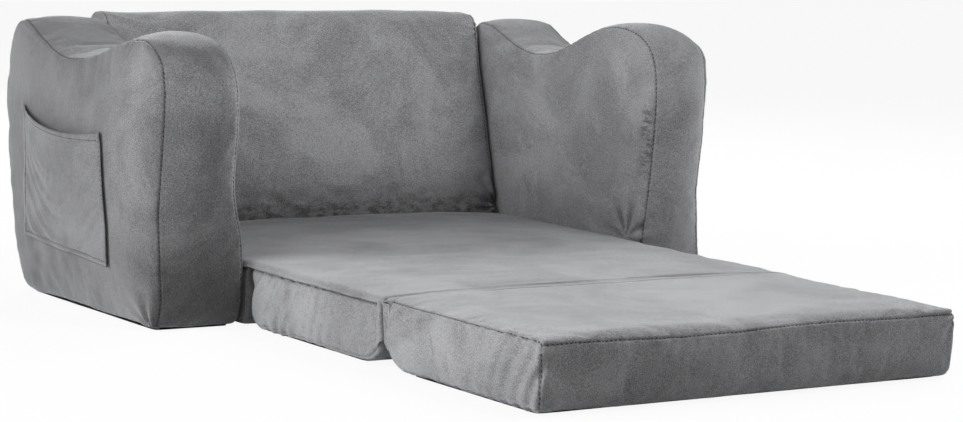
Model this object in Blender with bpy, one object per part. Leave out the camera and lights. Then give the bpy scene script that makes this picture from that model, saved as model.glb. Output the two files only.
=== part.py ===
# Kids flip open sofa: foam blocks in sewn velvet covers, open as a lounger.
# Metres, +Z up, X to the right, the front faces -Y. The open sofa is centred
# on the origin, which lies on the floor.

import math

import bmesh
import bpy
from mathutils import Matrix, Vector
from mathutils.bvhtree import BVHTree

# Driving sizes
innerWidth = 0.600
baseLength = 0.326
sectionLength = 0.302
slabHeight = 0.087
backThickness = 0.096
armHeight = 0.370
armThickness = 0.122

# Cloth, foam and clearances
fitGap = 0.0003
foamGap = 0.0007
coverWall = 0.0030
clothSheet = 0.0015
rimWidth = 0.012
overrun = 0.020
sectionSideGap = 0.0040
baseSideGap = 0.0006

# Sewn shape of the slabs
slabCrown = 0.006
slabSeamDrop = 0.005
slabSideBulge = 0.0024
foldCornerRadius = 0.042
hingeCornerRadius = 0.016
foldShoulderRadius = 0.010
freeCornerRadius = 0.012
frontBulge = 0.004

# Pieces in each rounded corner, and the one that carries a zip, from the upright face
cornerSteps = 4
zipFacet = 2

# Sewn shape of the back rest
backCrown = 0.006
backSeamDrop = 0.006
backTopRadius = 0.018
backFootRadius = 0.010
backTopDrop = 0.003
backFrontLean = 0.070
backRearLean = 0.032
backBendRadius = 0.060

# Sewn shape of the arms
armRearReach = 0.016
armOuterBulge = 0.006
armFrontDrop = 0.026
armTopDrop = 0.015
armInnerDrop = 0.012
armStripCrown = 0.004

# Pouch on the outer side of each arm
pouchFrontMargin = 0.112
pouchRearMargin = 0.096
pouchTopMargin = 0.135
pouchFoot = 0.070
pouchMouth = 0.018
pouchSag = 0.010
pouchEdgeGap = 0.0006
pouchCloth = 0.0018

# Zips
zipLength = 0.420
zipWidth = 0.014
zipTape = 0.0012
zipTeethWidth = 0.0050
zipTeethHeight = 0.0016
zipFoot = 0.030
sliderLength = 0.013
sliderWidth = 0.009
sliderHeight = 0.0030
bailHeight = 0.0034
bailBar = 0.0014

# Places along the sofa, from the front plane of the arms
armDepth = baseLength + backThickness + armRearReach
backReach = baseLength + backThickness + backRearLean
backHeight = armHeight - backTopDrop
pouchWidth = armDepth - pouchFrontMargin - pouchRearMargin
pouchDepth = armHeight - pouchFoot - pouchTopMargin
armFront = (2 * sectionLength + frontBulge - backReach) / 2
foldOne = armFront
foldTwo = foldOne - sectionLength
freeEnd = foldTwo - sectionLength
backFront = armFront + baseLength
coverFoot = clothSheet + fitGap

# Outline of an arm, as shares of its depth and height, from the front foot round
armFootShares = ((0.035, 0.0), (0.815, 0.0))
armOutlineShares = (
    (0.870, 0.040),
    (0.912, 0.12),
    (0.948, 0.24),
    (0.976, 0.38),
    (0.993, 0.53),
    (1.0, 0.67),
    (0.993, 0.80),
    (0.970, 0.895),
    (0.935, 0.948),
    (0.890, 0.962),
    (0.83, 0.948),
    (0.75, 0.908),
    (0.67, 0.876),
    (0.59, 0.864),
    (0.51, 0.876),
    (0.43, 0.908),
    (0.34, 0.953),
    (0.25, 0.988),
    (0.17, 1.0),
    (0.10, 0.994),
    (0.04, 0.968),
    (-0.004, 0.925),
    (-0.027, 0.865),
    (-0.034, 0.79),
    (-0.032, 0.68),
    (-0.022, 0.50),
    (-0.008, 0.33),
    (0.002, 0.18),
    (0.010, 0.05),
)

# Where the rings and rows of a sewn block lie, as shares
slabRowShares = (-1.0, -0.95, -0.80, -0.45, 0.0, 0.45, 0.80, 0.95, 1.0)
coreRowShares = (-1.0, -0.90, -0.45, 0.0, 0.45, 0.90, 1.0)
armRowShares = (-1.0, -0.72, -0.25, 0.25, 0.72, 1.0)
armCoreRowShares = (-1.0, -0.55, 0.0, 0.55, 1.0)
ringShares = (0.95, 0.80, 0.50)
coreRingShares = (0.80,)


def clearScene():
    for old in list(bpy.data.objects):
        bpy.data.objects.remove(old, do_unlink=True)


def makeMaterial(name, colour, roughness, metallic=0.0):
    material = bpy.data.materials.new(name)
    material.use_nodes = True
    shader = material.node_tree.nodes["Principled BSDF"]
    shader.inputs["Base Color"].default_value = (*colour, 1.0)
    shader.inputs["Roughness"].default_value = roughness
    shader.inputs["Metallic"].default_value = metallic
    return material


def addObject(name, bm, material, origin=(0.0, 0.0, 0.0), helper=False):
    bm.normal_update()
    bmesh.ops.recalc_face_normals(bm, faces=bm.faces)
    mesh = bpy.data.meshes.new(name)
    bm.to_mesh(mesh)
    bm.free()
    mesh.transform(Matrix.Translation(-Vector(origin)))
    mesh.shade_smooth()
    mesh.set_sharp_from_angle(angle=math.radians(40))
    made = bpy.data.objects.new(name, mesh)
    made.location = origin
    bpy.context.scene.collection.objects.link(made)
    if helper:
        made.hide_render = True
        made.display_type = "WIRE"
    else:
        mesh.materials.append(material)
    return made


def boxMesh(low, high):
    bm = bmesh.new()
    bmesh.ops.create_cube(bm, size=1.0)
    low, high = Vector(low), Vector(high)
    size = high - low
    for vert in bm.verts:
        vert.co = low + Vector(size[i] * (vert.co[i] + 0.5) for i in range(3))
    return bm


def cut(target, cutter, solver="EXACT"):
    modifier = target.modifiers.new("cut " + cutter.name, "BOOLEAN")
    modifier.operation = "DIFFERENCE"
    modifier.solver = solver
    modifier.object = cutter


# Outlines, as (y, z) points that run front foot, rear foot, top, front


def roundedOutline(corners, spans, steps=cornerSteps):
    # corners holds (y, z, radius); spans holds the pieces of each straight run
    points = []
    count = len(corners)
    for i in range(count):
        corner = Vector(corners[i][:2])
        before = (Vector(corners[i - 1][:2]) - corner).normalized()
        after = (Vector(corners[(i + 1) % count][:2]) - corner).normalized()
        radius = corners[i][2]
        half = before.angle(after) / 2
        centre = corner + (before + after).normalized() * radius / math.sin(half)
        first = corner + before * radius / math.tan(half) - centre
        turn = math.pi - 2 * half
        for step in range(steps + 1):
            angle = turn * step / steps
            points.append(centre + Matrix.Rotation(angle, 2) @ first)
        ahead = Vector(corners[(i + 1) % count][:2])
        aheadRadius = corners[(i + 1) % count][2]
        beyond = Vector(corners[(i + 2) % count][:2])
        aheadHalf = (corner - ahead).angle(beyond - ahead) / 2
        start = points[-1]
        finish = ahead - after * aheadRadius / math.tan(aheadHalf)
        for step in range(1, spans[i]):
            points.append(start.lerp(finish, step / spans[i]))
    return points


def smoothOutline(points, perSpan=2):
    # A Catmull-Rom curve through the points, which stays open at its two ends
    smooth = []
    for i in range(len(points) - 1):
        p0 = points[max(i - 1, 0)]
        p1, p2 = points[i], points[i + 1]
        p3 = points[min(i + 2, len(points) - 1)]
        for step in range(perSpan):
            t = step / perSpan
            smooth.append(
                0.5
                * (
                    2 * p1
                    + (p2 - p0) * t
                    + (2 * p0 - 5 * p1 + 4 * p2 - p3) * t * t
                    + (3 * p1 - 3 * p2 + p3 - p0) * t * t * t
                )
            )
    smooth.append(points[-1])
    return smooth


def armOutline():
    height = armHeight - coverFoot - armStripCrown

    def place(share):
        return Vector((armFront + share[0] * armDepth, coverFoot + share[1] * height))

    front, rear = (place(share) for share in armFootShares)
    foot = [front.lerp(rear, step / 4) for step in range(4)]
    return foot + smoothOutline([rear] + [place(share) for share in armOutlineShares])


def normalsOf(outline):
    count = len(outline)
    normals = []
    for i in range(count):
        ahead = (outline[(i + 1) % count] - outline[i]).normalized()
        behind = (outline[i] - outline[i - 1]).normalized()
        along = (ahead + behind).normalized()
        normals.append(Vector((along.y, -along.x)))
    return normals


# A sewn block: a strip that runs round the outline, between two side panels


def sewnBlock(block, inset, rows, rings):
    outline = block["outline"]
    normals = normalsOf(outline)
    centre = sum(outline, Vector((0.0, 0.0))) / len(outline)
    bm = bmesh.new()

    def vertex(share, place, bulge):
        x = block["side"](share, place, bulge, inset)
        return bm.verts.new((x, place.x, place.y))

    loops = []
    for share in rows:
        loop = []
        for point, normal in zip(outline, normals):
            rise = block["crown"](share, point, normal) - inset
            loop.append(vertex(share, point + normal * rise, 0.0))
        loops.append(loop)

    def bridge(one, two):
        # Split alike every time, so that a core stays inside its cover
        for i in range(len(one)):
            k = (i + 1) % len(one)
            bm.faces.new((one[i], one[k], two[k]))
            bm.faces.new((one[i], two[k], two[i]))

    for one, two in zip(loops, loops[1:]):
        bridge(one, two)
    for share, edge in ((rows[0], loops[0]), (rows[-1], loops[-1])):
        edgePlaces = [Vector((v.co.y, v.co.z)) for v in edge]
        last = edge
        for ring in rings:
            bulge = 1 - ring**4
            loop = [vertex(share, centre.lerp(p, ring), bulge) for p in edgePlaces]
            bridge(last, loop)
            last = loop
        middle = vertex(share, centre, 1.0)
        for i in range(len(last)):
            bm.faces.new((last[i], last[(i + 1) % len(last)], middle))
    return bm


def makeCover(name, block, rows, coreRows, footHole, material, solver="EXACT"):
    cover = addObject(name, sewnBlock(block, 0.0, rows, ringShares), material)
    cavity = sewnBlock(block, coverWall, coreRows, coreRingShares)
    cut(cover, addObject(name + "_cavity", cavity, None, helper=True), solver)
    (x0, y0), (x1, y1) = footHole
    hole = boxMesh((x0, y0, -overrun), (x1, y1, coverFoot + coverWall + fitGap))
    cut(cover, addObject(name + "_foot_hole", hole, None, helper=True))
    return cover


def makeFoam(name, block, coreRows, material):
    core = sewnBlock(block, coverWall + foamGap, coreRows, coreRingShares)
    return addObject(name, core, material)


def makeUnderside(name, low, high, material):
    bm = boxMesh((*low, 0.0), (*high, clothSheet))
    upright = [e for e in bm.edges if abs(e.verts[0].co.z - e.verts[1].co.z) > clothSheet / 2]
    bmesh.ops.bevel(
        bm,
        geom=upright,
        offset=rimWidth,
        segments=4,
        profile=0.5,
        affect="EDGES",
    )
    return addObject(name, bm, material)


# Slabs


def slabBlock(front, rear, radii, halfWidth, bulgeFront):
    topLevel = slabHeight - slabCrown
    corners = [
        (front, coverFoot, radii["frontFoot"]),
        (rear, coverFoot, radii["rearFoot"]),
        (rear, topLevel, radii["rearTop"]),
        (front, topLevel, radii["frontTop"]),
    ]

    def crown(share, point, normal):
        rise = slabCrown * max(normal.y, 0.0) ** 2 * (1 - share**4)
        rise += bulgeFront * max(-normal.x, 0.0) ** 2 * (1 - share**4)
        return rise - slabSeamDrop * abs(share) ** 14 * max(normal.y, 0.0) ** 2

    def side(share, place, bulge, inset):
        half = halfWidth - slabSideBulge - inset
        if share in (-1.0, 1.0):
            half += slabSideBulge * bulge
        return share * half

    return {
        "outline": roundedOutline(corners, (5, 1, 6, 1)),
        "crown": crown,
        "side": side,
    }


def makeSlab(name, front, rear, radii, halfWidth, looks, bulgeFront=0.0):
    block = slabBlock(front, rear, radii, halfWidth, bulgeFront)
    low = (-halfWidth + rimWidth, front + radii["frontFoot"] + rimWidth)
    high = (halfWidth - rimWidth, rear - radii["rearFoot"] - rimWidth)
    makeCover(name + "_cover", block, slabRowShares, coreRowShares, (low, high), looks["velvet"])
    makeFoam(name + "_foam", block, coreRowShares, looks["foam"])
    low = (-halfWidth + rimWidth / 2, front + radii["frontFoot"])
    high = (halfWidth - rimWidth / 2, rear - radii["rearFoot"])
    makeUnderside(name + "_underside", low, high, looks["lining"])


# Back rest


def makeBack(looks):
    halfWidth = innerWidth / 2 - baseSideGap
    front, rear = backFront + fitGap, backFront + backThickness - backCrown
    top = backHeight - backCrown
    corners = [
        (front, coverFoot, backFootRadius),
        (rear, coverFoot, backFootRadius),
        (rear + backRearLean, top, backTopRadius),
        (front + backFrontLean, top, backTopRadius),
        (front, slabHeight, backBendRadius),
    ]

    def crown(share, point, normal):
        clear = (point.y - slabHeight) / (backHeight - slabHeight)
        lift = max(min(clear, 1.0), 0.0)
        swell = 1 - (2 * lift - 1) ** 4
        rise = backCrown * abs(normal.x) ** 2 * swell + backCrown * max(normal.y, 0.0) ** 2
        return rise * (1 - share**4) - backSeamDrop * abs(share) ** 14 * max(normal.y, 0.0)

    def side(share, place, bulge, inset):
        return share * (halfWidth - inset)

    block = {"outline": roundedOutline(corners, (2, 6, 1, 5, 1)), "crown": crown, "side": side}
    low = (-halfWidth + rimWidth, front + backFootRadius + rimWidth / 2)
    high = (halfWidth - rimWidth, rear - backFootRadius - rimWidth / 2)
    # The exact solver leaves this cavity uncut at some heights
    cover = makeCover(
        "back_rest_cover",
        block,
        slabRowShares,
        coreRowShares,
        (low, high),
        looks["velvet"],
        solver="MANIFOLD",
    )
    makeFoam("back_rest_foam", block, coreRowShares, looks["foam"])
    low = (-halfWidth + rimWidth / 2, front + backFootRadius)
    high = (halfWidth - rimWidth / 2, rear - backFootRadius)
    makeUnderside("back_rest_underside", low, high, looks["lining"])
    lean = math.atan2(backRearLean, top - coverFoot)
    zipPlace = (0.0, rear + zipFoot * math.tan(lean), coverFoot + zipFoot)
    makeZip("back_rest_zip", cover, zipPlace, lean, looks)


# Arms


def armBlock(turn):
    inner = innerWidth / 2

    def crown(share, point, normal):
        above = max(min((point.y - slabHeight) / slabHeight, 1.0), 0.0)
        rise = armStripCrown * (1 - share * share) * above
        front, top = max(-normal.x, 0.0) ** 2, max(normal.y, 0.0) ** 2
        outerDrop = ((share + 1) / 2) ** 4 * (armFrontDrop * front + armTopDrop * top)
        innerDrop = max(-share, 0.0) ** 8 * (armInnerDrop * front + armStripCrown * top)
        return rise - (outerDrop + innerDrop) * above

    def side(share, place, bulge, inset):
        x = inner + armThickness * (share + 1) / 2 - share * inset
        if share == 1.0:
            x += armOuterBulge * bulge
        return turn * x

    return {"outline": armOutline(), "crown": crown, "side": side}


def makePouch(name, turn, cover, material):
    # A sheet that follows the arm, sewn at its foot and sides and slack at its mouth
    graph = bpy.context.evaluated_depsgraph_get()
    tree = BVHTree.FromObject(cover, graph)
    across, up = 10, 6
    front = armFront + pouchFrontMargin
    far = turn * (innerWidth / 2 + armThickness + armOuterBulge + overrun)

    def armSurface(y, z):
        hit = tree.ray_cast(Vector((far, y, z)), Vector((-turn, 0.0, 0.0)))
        return hit[0].x

    bm = bmesh.new()
    layers = []
    for extra in (0.0, pouchCloth):
        layer = []
        for row in range(up + 1):
            line = []
            for column in range(across + 1):
                u, v = column / across, row / up
                y = front + u * pouchWidth
                arch = math.sin(math.pi * u) if 0 < column < across else 0.0
                z = pouchFoot + v * (pouchDepth - pouchSag * arch)
                stand = pouchEdgeGap + pouchMouth * arch**0.6 * v**0.7
                x = armSurface(y, z) + turn * (stand + extra)
                line.append(bm.verts.new((x, y, z)))
            layer.append(line)
        layers.append(layer)
    near, away = layers
    for layer in layers:
        for row in range(up):
            for column in range(across):
                bm.faces.new(
                    (
                        layer[row][column],
                        layer[row][column + 1],
                        layer[row + 1][column + 1],
                        layer[row + 1][column],
                    )
                )
    for column in range(across):
        for row in (0, up):
            one, two = near[row], away[row]
            bm.faces.new((one[column], one[column + 1], two[column + 1], two[column]))
    for row in range(up):
        for column in (0, across):
            bm.faces.new(
                (
                    near[row][column],
                    near[row + 1][column],
                    away[row + 1][column],
                    away[row][column],
                )
            )
    return addObject(name, bm, material)


def makeArm(sideName, turn, looks):
    block = armBlock(turn)
    inner, outer = innerWidth / 2 + rimWidth, innerWidth / 2 + armThickness - rimWidth
    front = armFront + armFootShares[0][0] * armDepth
    rear = armFront + armFootShares[1][0] * armDepth
    xs = sorted((turn * inner, turn * outer))
    hole = ((xs[0], front + rimWidth), (xs[1], rear - rimWidth))
    cover = makeCover(
        sideName + "_arm_cover", block, armRowShares, armCoreRowShares, hole, looks["velvet"]
    )
    makeFoam(sideName + "_arm_foam", block, armCoreRowShares, looks["foam"])
    low = (xs[0] - rimWidth / 2, front)
    high = (xs[1] + rimWidth / 2, rear)
    makeUnderside(sideName + "_arm_underside", low, high, looks["lining"])
    makePouch(sideName + "_arm_pouch", turn, cover, looks["velvet"])


# Cloth at the folds


def makeFoldCloth(name, place, low, high, material):
    half = innerWidth / 2 - sectionSideGap - rimWidth
    thick = clothSheet / 2
    bm = boxMesh((-half, place - thick, low), (half, place + thick, high))
    addObject(name, bm, material)


# Zips, made flat in X and Z with the teeth towards -Y, then turned to their faces


def makeZip(name, cover, faceCentre, tilt, looks, ahead=1):
    # The face looks towards +Y, or -Y where ahead is -1, and tilt is how far it leans down
    place = Matrix.Translation(Vector(faceCentre)) @ Matrix.Rotation(-ahead * tilt, 4, "X")
    if ahead == 1:
        place = place @ Matrix.Rotation(math.pi, 4, "Z")
    half = zipLength / 2
    wallDepth = coverWall + fitGap
    slot = boxMesh(
        (-half - fitGap, -overrun, -zipWidth / 2 - fitGap),
        (half + fitGap, wallDepth, zipWidth / 2 + fitGap),
    )
    slot.transform(place)
    cut(cover, addObject(name + "_slot", slot, None, helper=True))

    # Tape and teeth, as one T-shaped strip that lies in the slot
    back = (coverWall - zipTape) / 2
    teeth = zipTeethWidth / 2
    outline = (
        (back + zipTape, -zipWidth / 2),
        (back + zipTape, zipWidth / 2),
        (back, zipWidth / 2),
        (back, teeth),
        (back - zipTeethHeight, teeth),
        (back - zipTeethHeight, -teeth),
        (back, -teeth),
        (back, -zipWidth / 2),
    )
    bm = bmesh.new()
    ends = [[bm.verts.new((x, y, z)) for y, z in outline] for x in (-half, half)]
    for i in range(len(outline)):
        k = (i + 1) % len(outline)
        bm.faces.new((ends[0][i], ends[0][k], ends[1][k], ends[1][i]))
    bm.faces.new(ends[0])
    bm.faces.new(ends[1])
    bm.transform(place)
    addObject(name, bm, looks["zip"])

    # Slider at one end of its run, with a small bail and no pull
    start = sliderLength - half
    base = back - zipTeethHeight - fitGap
    body = boxMesh(
        (start - sliderLength / 2, base - sliderHeight, -sliderWidth / 2),
        (start + sliderLength / 2, base, sliderWidth / 2),
    )
    for vert in body.verts:
        if vert.co.x > start and vert.co.y < base - sliderHeight / 2:
            vert.co.z *= 1 - sliderHeight / sliderWidth
    bail = sliderLength / 2 - bailBar
    outer = base - sliderHeight - bailHeight
    arch = boxMesh(
        (start - bail, outer, -bailBar / 2),
        (start + bail, base - sliderHeight / 2, bailBar / 2),
    )
    window = boxMesh(
        (start - bail + bailBar, outer + bailBar, -bailBar),
        (start + bail - bailBar, base - sliderHeight, bailBar),
    )
    pivot = place @ Vector((start, base, 0.0))
    for shape in (body, arch, window):
        shape.transform(place)
    slider = addObject(name + "_slider", body, looks["metal"], origin=pivot)
    archPart = addObject(name + "_bail", arch, None, helper=True)
    cut(archPart, addObject(name + "_bail_window", window, None, helper=True))
    joined = slider.modifiers.new("bail", "BOOLEAN")
    joined.operation = "UNION"
    joined.solver = "EXACT"
    joined.object = archPart


def main():
    clearScene()
    looks = {
        "velvet": makeMaterial("grey velvet", (0.30, 0.30, 0.31), 0.85),
        "foam": makeMaterial("foam", (0.83, 0.80, 0.70), 0.95),
        "lining": makeMaterial("lining cloth", (0.12, 0.12, 0.12), 0.90),
        "zip": makeMaterial("zip tape", (0.20, 0.20, 0.21), 0.60),
        "metal": makeMaterial("zip metal", (0.45, 0.45, 0.46), 0.35, 0.9),
    }
    seam = fitGap + clothSheet / 2
    halfInner = innerWidth / 2
    halfSection = halfInner - sectionSideGap

    def radii(frontFoot, rearFoot, rearTop, frontTop):
        return {
            "frontFoot": frontFoot,
            "rearFoot": rearFoot,
            "rearTop": rearTop,
            "frontTop": frontTop,
        }

    fold, hinge = foldCornerRadius, hingeCornerRadius
    shoulder, free = foldShoulderRadius, freeCornerRadius
    makeSlab(
        "seat_base",
        foldOne + seam,
        backFront,
        radii(hinge, free, shoulder, shoulder),
        halfInner - baseSideGap,
        looks,
    )
    makeSlab(
        "middle_section",
        foldTwo + seam,
        foldOne - seam,
        radii(fold, hinge, shoulder, shoulder),
        halfSection,
        looks,
    )
    makeSlab(
        "end_section",
        freeEnd,
        foldTwo - seam,
        radii(free, fold, shoulder, free),
        halfSection,
        looks,
        bulgeFront=frontBulge,
    )
    flapLow, flapHigh = foldCornerRadius, slabHeight - slabCrown - foldShoulderRadius
    makeFoldCloth("front_fold_flap", foldOne, flapLow, flapHigh, looks["velvet"])
    makeFoldCloth("end_fold_tape", foldTwo, flapLow, flapHigh, looks["velvet"])

    makeBack(looks)
    makeArm("left", -1, looks)
    makeArm("right", 1, looks)

    # The sections' zips lie on a facet of the round corner on either side of the notch
    stepAngle = math.pi / 2 / cornerSteps
    tilt = zipFacet * stepAngle - stepAngle / 2
    reach = foldCornerRadius * math.cos(stepAngle / 2)
    back = seam + foldCornerRadius - reach * math.cos(tilt)
    z = coverFoot + foldCornerRadius - reach * math.sin(tilt)
    for name, ahead in (("middle_section", -1), ("end_section", 1)):
        cover = bpy.data.objects[name + "_cover"]
        makeZip(name + "_zip", cover, (0.0, foldTwo - ahead * back, z), tilt, looks, ahead)


main()
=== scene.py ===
import math

import bmesh
import bpy
import numpy as np
from mathutils import Matrix, Vector, kdtree, noise
from mathutils.bvhtree import BVHTree


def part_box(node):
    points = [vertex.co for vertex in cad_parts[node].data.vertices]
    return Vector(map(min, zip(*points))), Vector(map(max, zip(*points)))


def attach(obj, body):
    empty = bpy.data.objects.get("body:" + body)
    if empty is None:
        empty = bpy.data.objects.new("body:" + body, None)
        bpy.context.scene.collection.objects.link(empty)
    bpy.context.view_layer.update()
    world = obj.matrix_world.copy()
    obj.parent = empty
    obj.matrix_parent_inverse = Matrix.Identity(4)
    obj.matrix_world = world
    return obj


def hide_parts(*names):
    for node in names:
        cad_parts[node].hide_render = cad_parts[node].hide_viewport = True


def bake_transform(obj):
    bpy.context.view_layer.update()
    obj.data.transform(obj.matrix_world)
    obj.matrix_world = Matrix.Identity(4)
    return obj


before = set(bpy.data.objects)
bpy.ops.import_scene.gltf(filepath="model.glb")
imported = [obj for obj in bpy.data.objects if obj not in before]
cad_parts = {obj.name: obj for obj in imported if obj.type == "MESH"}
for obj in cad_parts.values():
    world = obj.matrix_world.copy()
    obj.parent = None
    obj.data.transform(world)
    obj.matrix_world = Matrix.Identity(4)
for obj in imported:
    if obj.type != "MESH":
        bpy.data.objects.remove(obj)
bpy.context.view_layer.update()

# Sizes that the CAD part was drawn with, in metres
sofa = {
    "halfInner": 0.300,
    "baseLength": 0.326,
    "slabHeight": 0.087,
    "armDepth": 0.438,
    "armHeight": 0.370,
    "armThickness": 0.122,
    "backThickness": 0.096,
    "backHeight": 0.367,
    "foldOne": 0.077,
    "foldTwo": -0.225,
    "freeEnd": -0.527,
    "clothFoot": 0.0022,
}
armFront = sofa["foldOne"]
backFront = armFront + sofa["baseLength"]
halfInner, outerArm = sofa["halfInner"], sofa["halfInner"] + sofa["armThickness"]
lowest = sofa["clothFoot"] - 0.0003


# ---- Mesh helpers


def deselectAll():
    for other in bpy.context.selected_objects:
        other.select_set(False)


def pick(piece):
    deselectAll()
    piece.select_set(True)
    bpy.context.view_layer.objects.active = piece


def fromMesh(name, bm):
    bm.normal_update()
    bmesh.ops.recalc_face_normals(bm, faces=bm.faces)
    mesh = bpy.data.meshes.new(name)
    bm.to_mesh(mesh)
    bm.free()
    piece = bpy.data.objects.new(name, mesh)
    bpy.context.scene.collection.objects.link(piece)
    return piece


def coordsOf(piece):
    found = np.empty(len(piece.data.vertices) * 3, np.float32)
    piece.data.vertices.foreach_get("co", found)
    return found.reshape(-1, 3).astype(float)


def setCoords(piece, coords):
    piece.data.vertices.foreach_set("co", np.asarray(coords, np.float32).ravel())
    piece.data.update()


def normalsFrom(piece):
    found = np.empty(len(piece.data.vertices) * 3, np.float32)
    piece.data.vertices.foreach_get("normal", found)
    return found.reshape(-1, 3).astype(float)


def applyModifier(piece, modifier):
    pick(piece)
    bpy.ops.object.modifier_apply(modifier=modifier.name)


def subdivide(piece, levels=1):
    modifier = piece.modifiers.new("Subdivision", "SUBSURF")
    modifier.levels = modifier.render_levels = levels
    applyModifier(piece, modifier)


def solidify(piece, thickness, offset=1.0):
    modifier = piece.modifiers.new("Solidify", "SOLIDIFY")
    modifier.thickness = thickness
    modifier.offset = offset
    modifier.use_even_offset = False
    applyModifier(piece, modifier)


def facesOut(piece):
    bm = bmesh.new()
    bm.from_mesh(piece.data)
    bmesh.ops.recalc_face_normals(bm, faces=bm.faces)
    bm.to_mesh(piece.data)
    bm.free()


def refine(piece, distance, reach):
    # Splits the edges whose two ends are both within reach
    bm = bmesh.new()
    bm.from_mesh(piece.data)
    near = [e for e in bm.edges if max(distance[v.index] for v in e.verts) < reach]
    bmesh.ops.subdivide_edges(bm, edges=near, cuts=1, use_grid_fill=True)
    bmesh.ops.triangulate(bm, faces=[f for f in bm.faces if len(f.verts) > 4])
    bm.to_mesh(piece.data)
    bm.free()


def mark(piece, name, values):
    # Stores one number per point, for the velvet to read
    stored = piece.data.attributes.get(name) or piece.data.attributes.new(name, "FLOAT", "POINT")
    stored.data.foreach_set("value", np.asarray(values, np.float32))


def clothe(piece, look):
    piece.data.shade_smooth()
    piece.data.materials.append(looks[look])


def surfaceTree(piece):
    return BVHTree.FromObject(piece, bpy.context.evaluated_depsgraph_get())


def newGrid(name, columns, rows, size=1.0):
    deselectAll()
    bpy.ops.mesh.primitive_grid_add(x_subdivisions=columns, y_subdivisions=rows, size=size)
    grid = bpy.context.active_object
    grid.name = name
    return grid


def unevenness(coords, size, seed):
    # Smooth noise from -1 to 1 at each point, whose lumps are about size across
    shift = Vector((seed * 3.1, seed * 7.7, seed * 1.3))
    return np.array([noise.noise(Vector(c) / size + shift) for c in coords])


def fade(values, start, end):
    # A smooth step from 0 at start to 1 at end
    share = np.clip((values - start) / (end - start), 0, 1)
    return share * share * (3 - 2 * share)


def hill(values, middle, width):
    # A smooth hill of height 1
    return np.exp(-((values - middle) / width) ** 2)


def noiseAlong(values, size, seed):
    return np.array([noise.noise(Vector((v / size, seed * 5.3, 0.5))) for v in values])


# ---- Outlines, as (y, z) points that run front foot, rear foot, top, front


def catmullRom(points, steps):
    points = [np.array(p, float) for p in points]
    out = []
    for i in range(len(points) - 1):
        p0, p1 = points[max(i - 1, 0)], points[i]
        p2, p3 = points[i + 1], points[min(i + 2, len(points) - 1)]
        for step in range(steps):
            t = step / steps
            out.append(0.5 * (2 * p1 + (p2 - p0) * t + (2 * p0 - 5 * p1 + 4 * p2 - p3) * t * t
                              + (3 * p1 - 3 * p2 + p3 - p0) * t ** 3))
    out.append(points[-1])
    return np.array(out)


def evenLoop(points, spacing):
    # The closed loop again, with its points a fixed distance apart
    loop = np.vstack([points, points[:1]])
    along = np.concatenate([[0], np.cumsum(np.linalg.norm(np.diff(loop, axis=0), axis=1))])
    count = max(8, int(round(along[-1] / spacing)))
    wanted = np.linspace(0, along[-1], count, endpoint=False)
    return np.column_stack([np.interp(wanted, along, loop[:, k]) for k in range(loop.shape[1])])


def roundedLoop(corners, steps=8):
    # corners holds (y, z, radius)
    out = []
    count = len(corners)
    for i in range(count):
        corner = np.array(corners[i][:2])
        before = np.array(corners[i - 1][:2]) - corner
        after = np.array(corners[(i + 1) % count][:2]) - corner
        before, after = before / np.linalg.norm(before), after / np.linalg.norm(after)
        half = math.acos(max(-1, min(1, before @ after))) / 2
        middle = (before + after) / np.linalg.norm(before + after)
        centre = corner + middle * corners[i][2] / math.sin(half)
        first = corner + before * corners[i][2] / math.tan(half) - centre
        for step in range(steps + 1):
            angle = (math.pi - 2 * half) * step / steps
            turn = np.array([[math.cos(angle), -math.sin(angle)], [math.sin(angle), math.cos(angle)]])
            out.append(centre + turn @ first)
    return np.array(out)


def outwards(loop):
    ahead = np.roll(loop, -1, axis=0) - loop
    behind = loop - np.roll(loop, 1, axis=0)
    ahead, behind = (way / np.linalg.norm(way, axis=1)[:, None] for way in (ahead, behind))
    along = ahead + behind
    along /= np.linalg.norm(along, axis=1)[:, None]
    return np.column_stack([along[:, 1], -along[:, 0]])


# ---- Sewn blocks: a strip round an outline, with rounded edges and two side panels


def sewnShell(name, loop, rows, sideX, bulges):
    # rows holds (x, inset, rise) at each point of the loop; sideX gives the x of the two side
    # panels at a place, and bulges their swell
    normals = outwards(loop)
    centre = loop.mean(axis=0)
    bm = bmesh.new()
    rings = []
    for x, inset, rise in rows:
        rings.append(np.column_stack([x, loop + normals * (rise - inset)[:, None]]))
    made = [[bm.verts.new(p) for p in ring] for ring in rings]
    count = len(loop)
    for one, two in zip(made, made[1:]):
        for i in range(count):
            k = (i + 1) % count
            bm.faces.new((one[i], one[k], two[k], two[i]))
    for end, sideOf, bulge in ((0, sideX[0], bulges[0]), (-1, sideX[1], bulges[1])):
        edge, last = rings[end], made[end]
        for share in (0.96, 0.90, 0.78, 0.62, 0.40, 0.18):
            place = centre + (edge[:, 1:] - centre) * share
            x = sideOf(place) + bulge * (1 - share ** 5) + np.zeros(len(place))
            ring = [bm.verts.new((a, *b)) for a, b in zip(x, place)]
            for i in range(count):
                k = (i + 1) % count
                bm.faces.new((last[i], last[k], ring[k], ring[i]))
            last = ring
        bm.faces.new(last)
    return fromMesh(name, bm), rings


def remesh(piece, size):
    piece.data.remesh_voxel_size = size
    piece.data.use_remesh_fix_poles = False
    pick(piece)
    bpy.ops.object.voxel_remesh()
    modifier = piece.modifiers.new("Smooth", "SMOOTH")
    modifier.factor, modifier.iterations = 0.5, 4
    applyModifier(piece, modifier)


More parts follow.
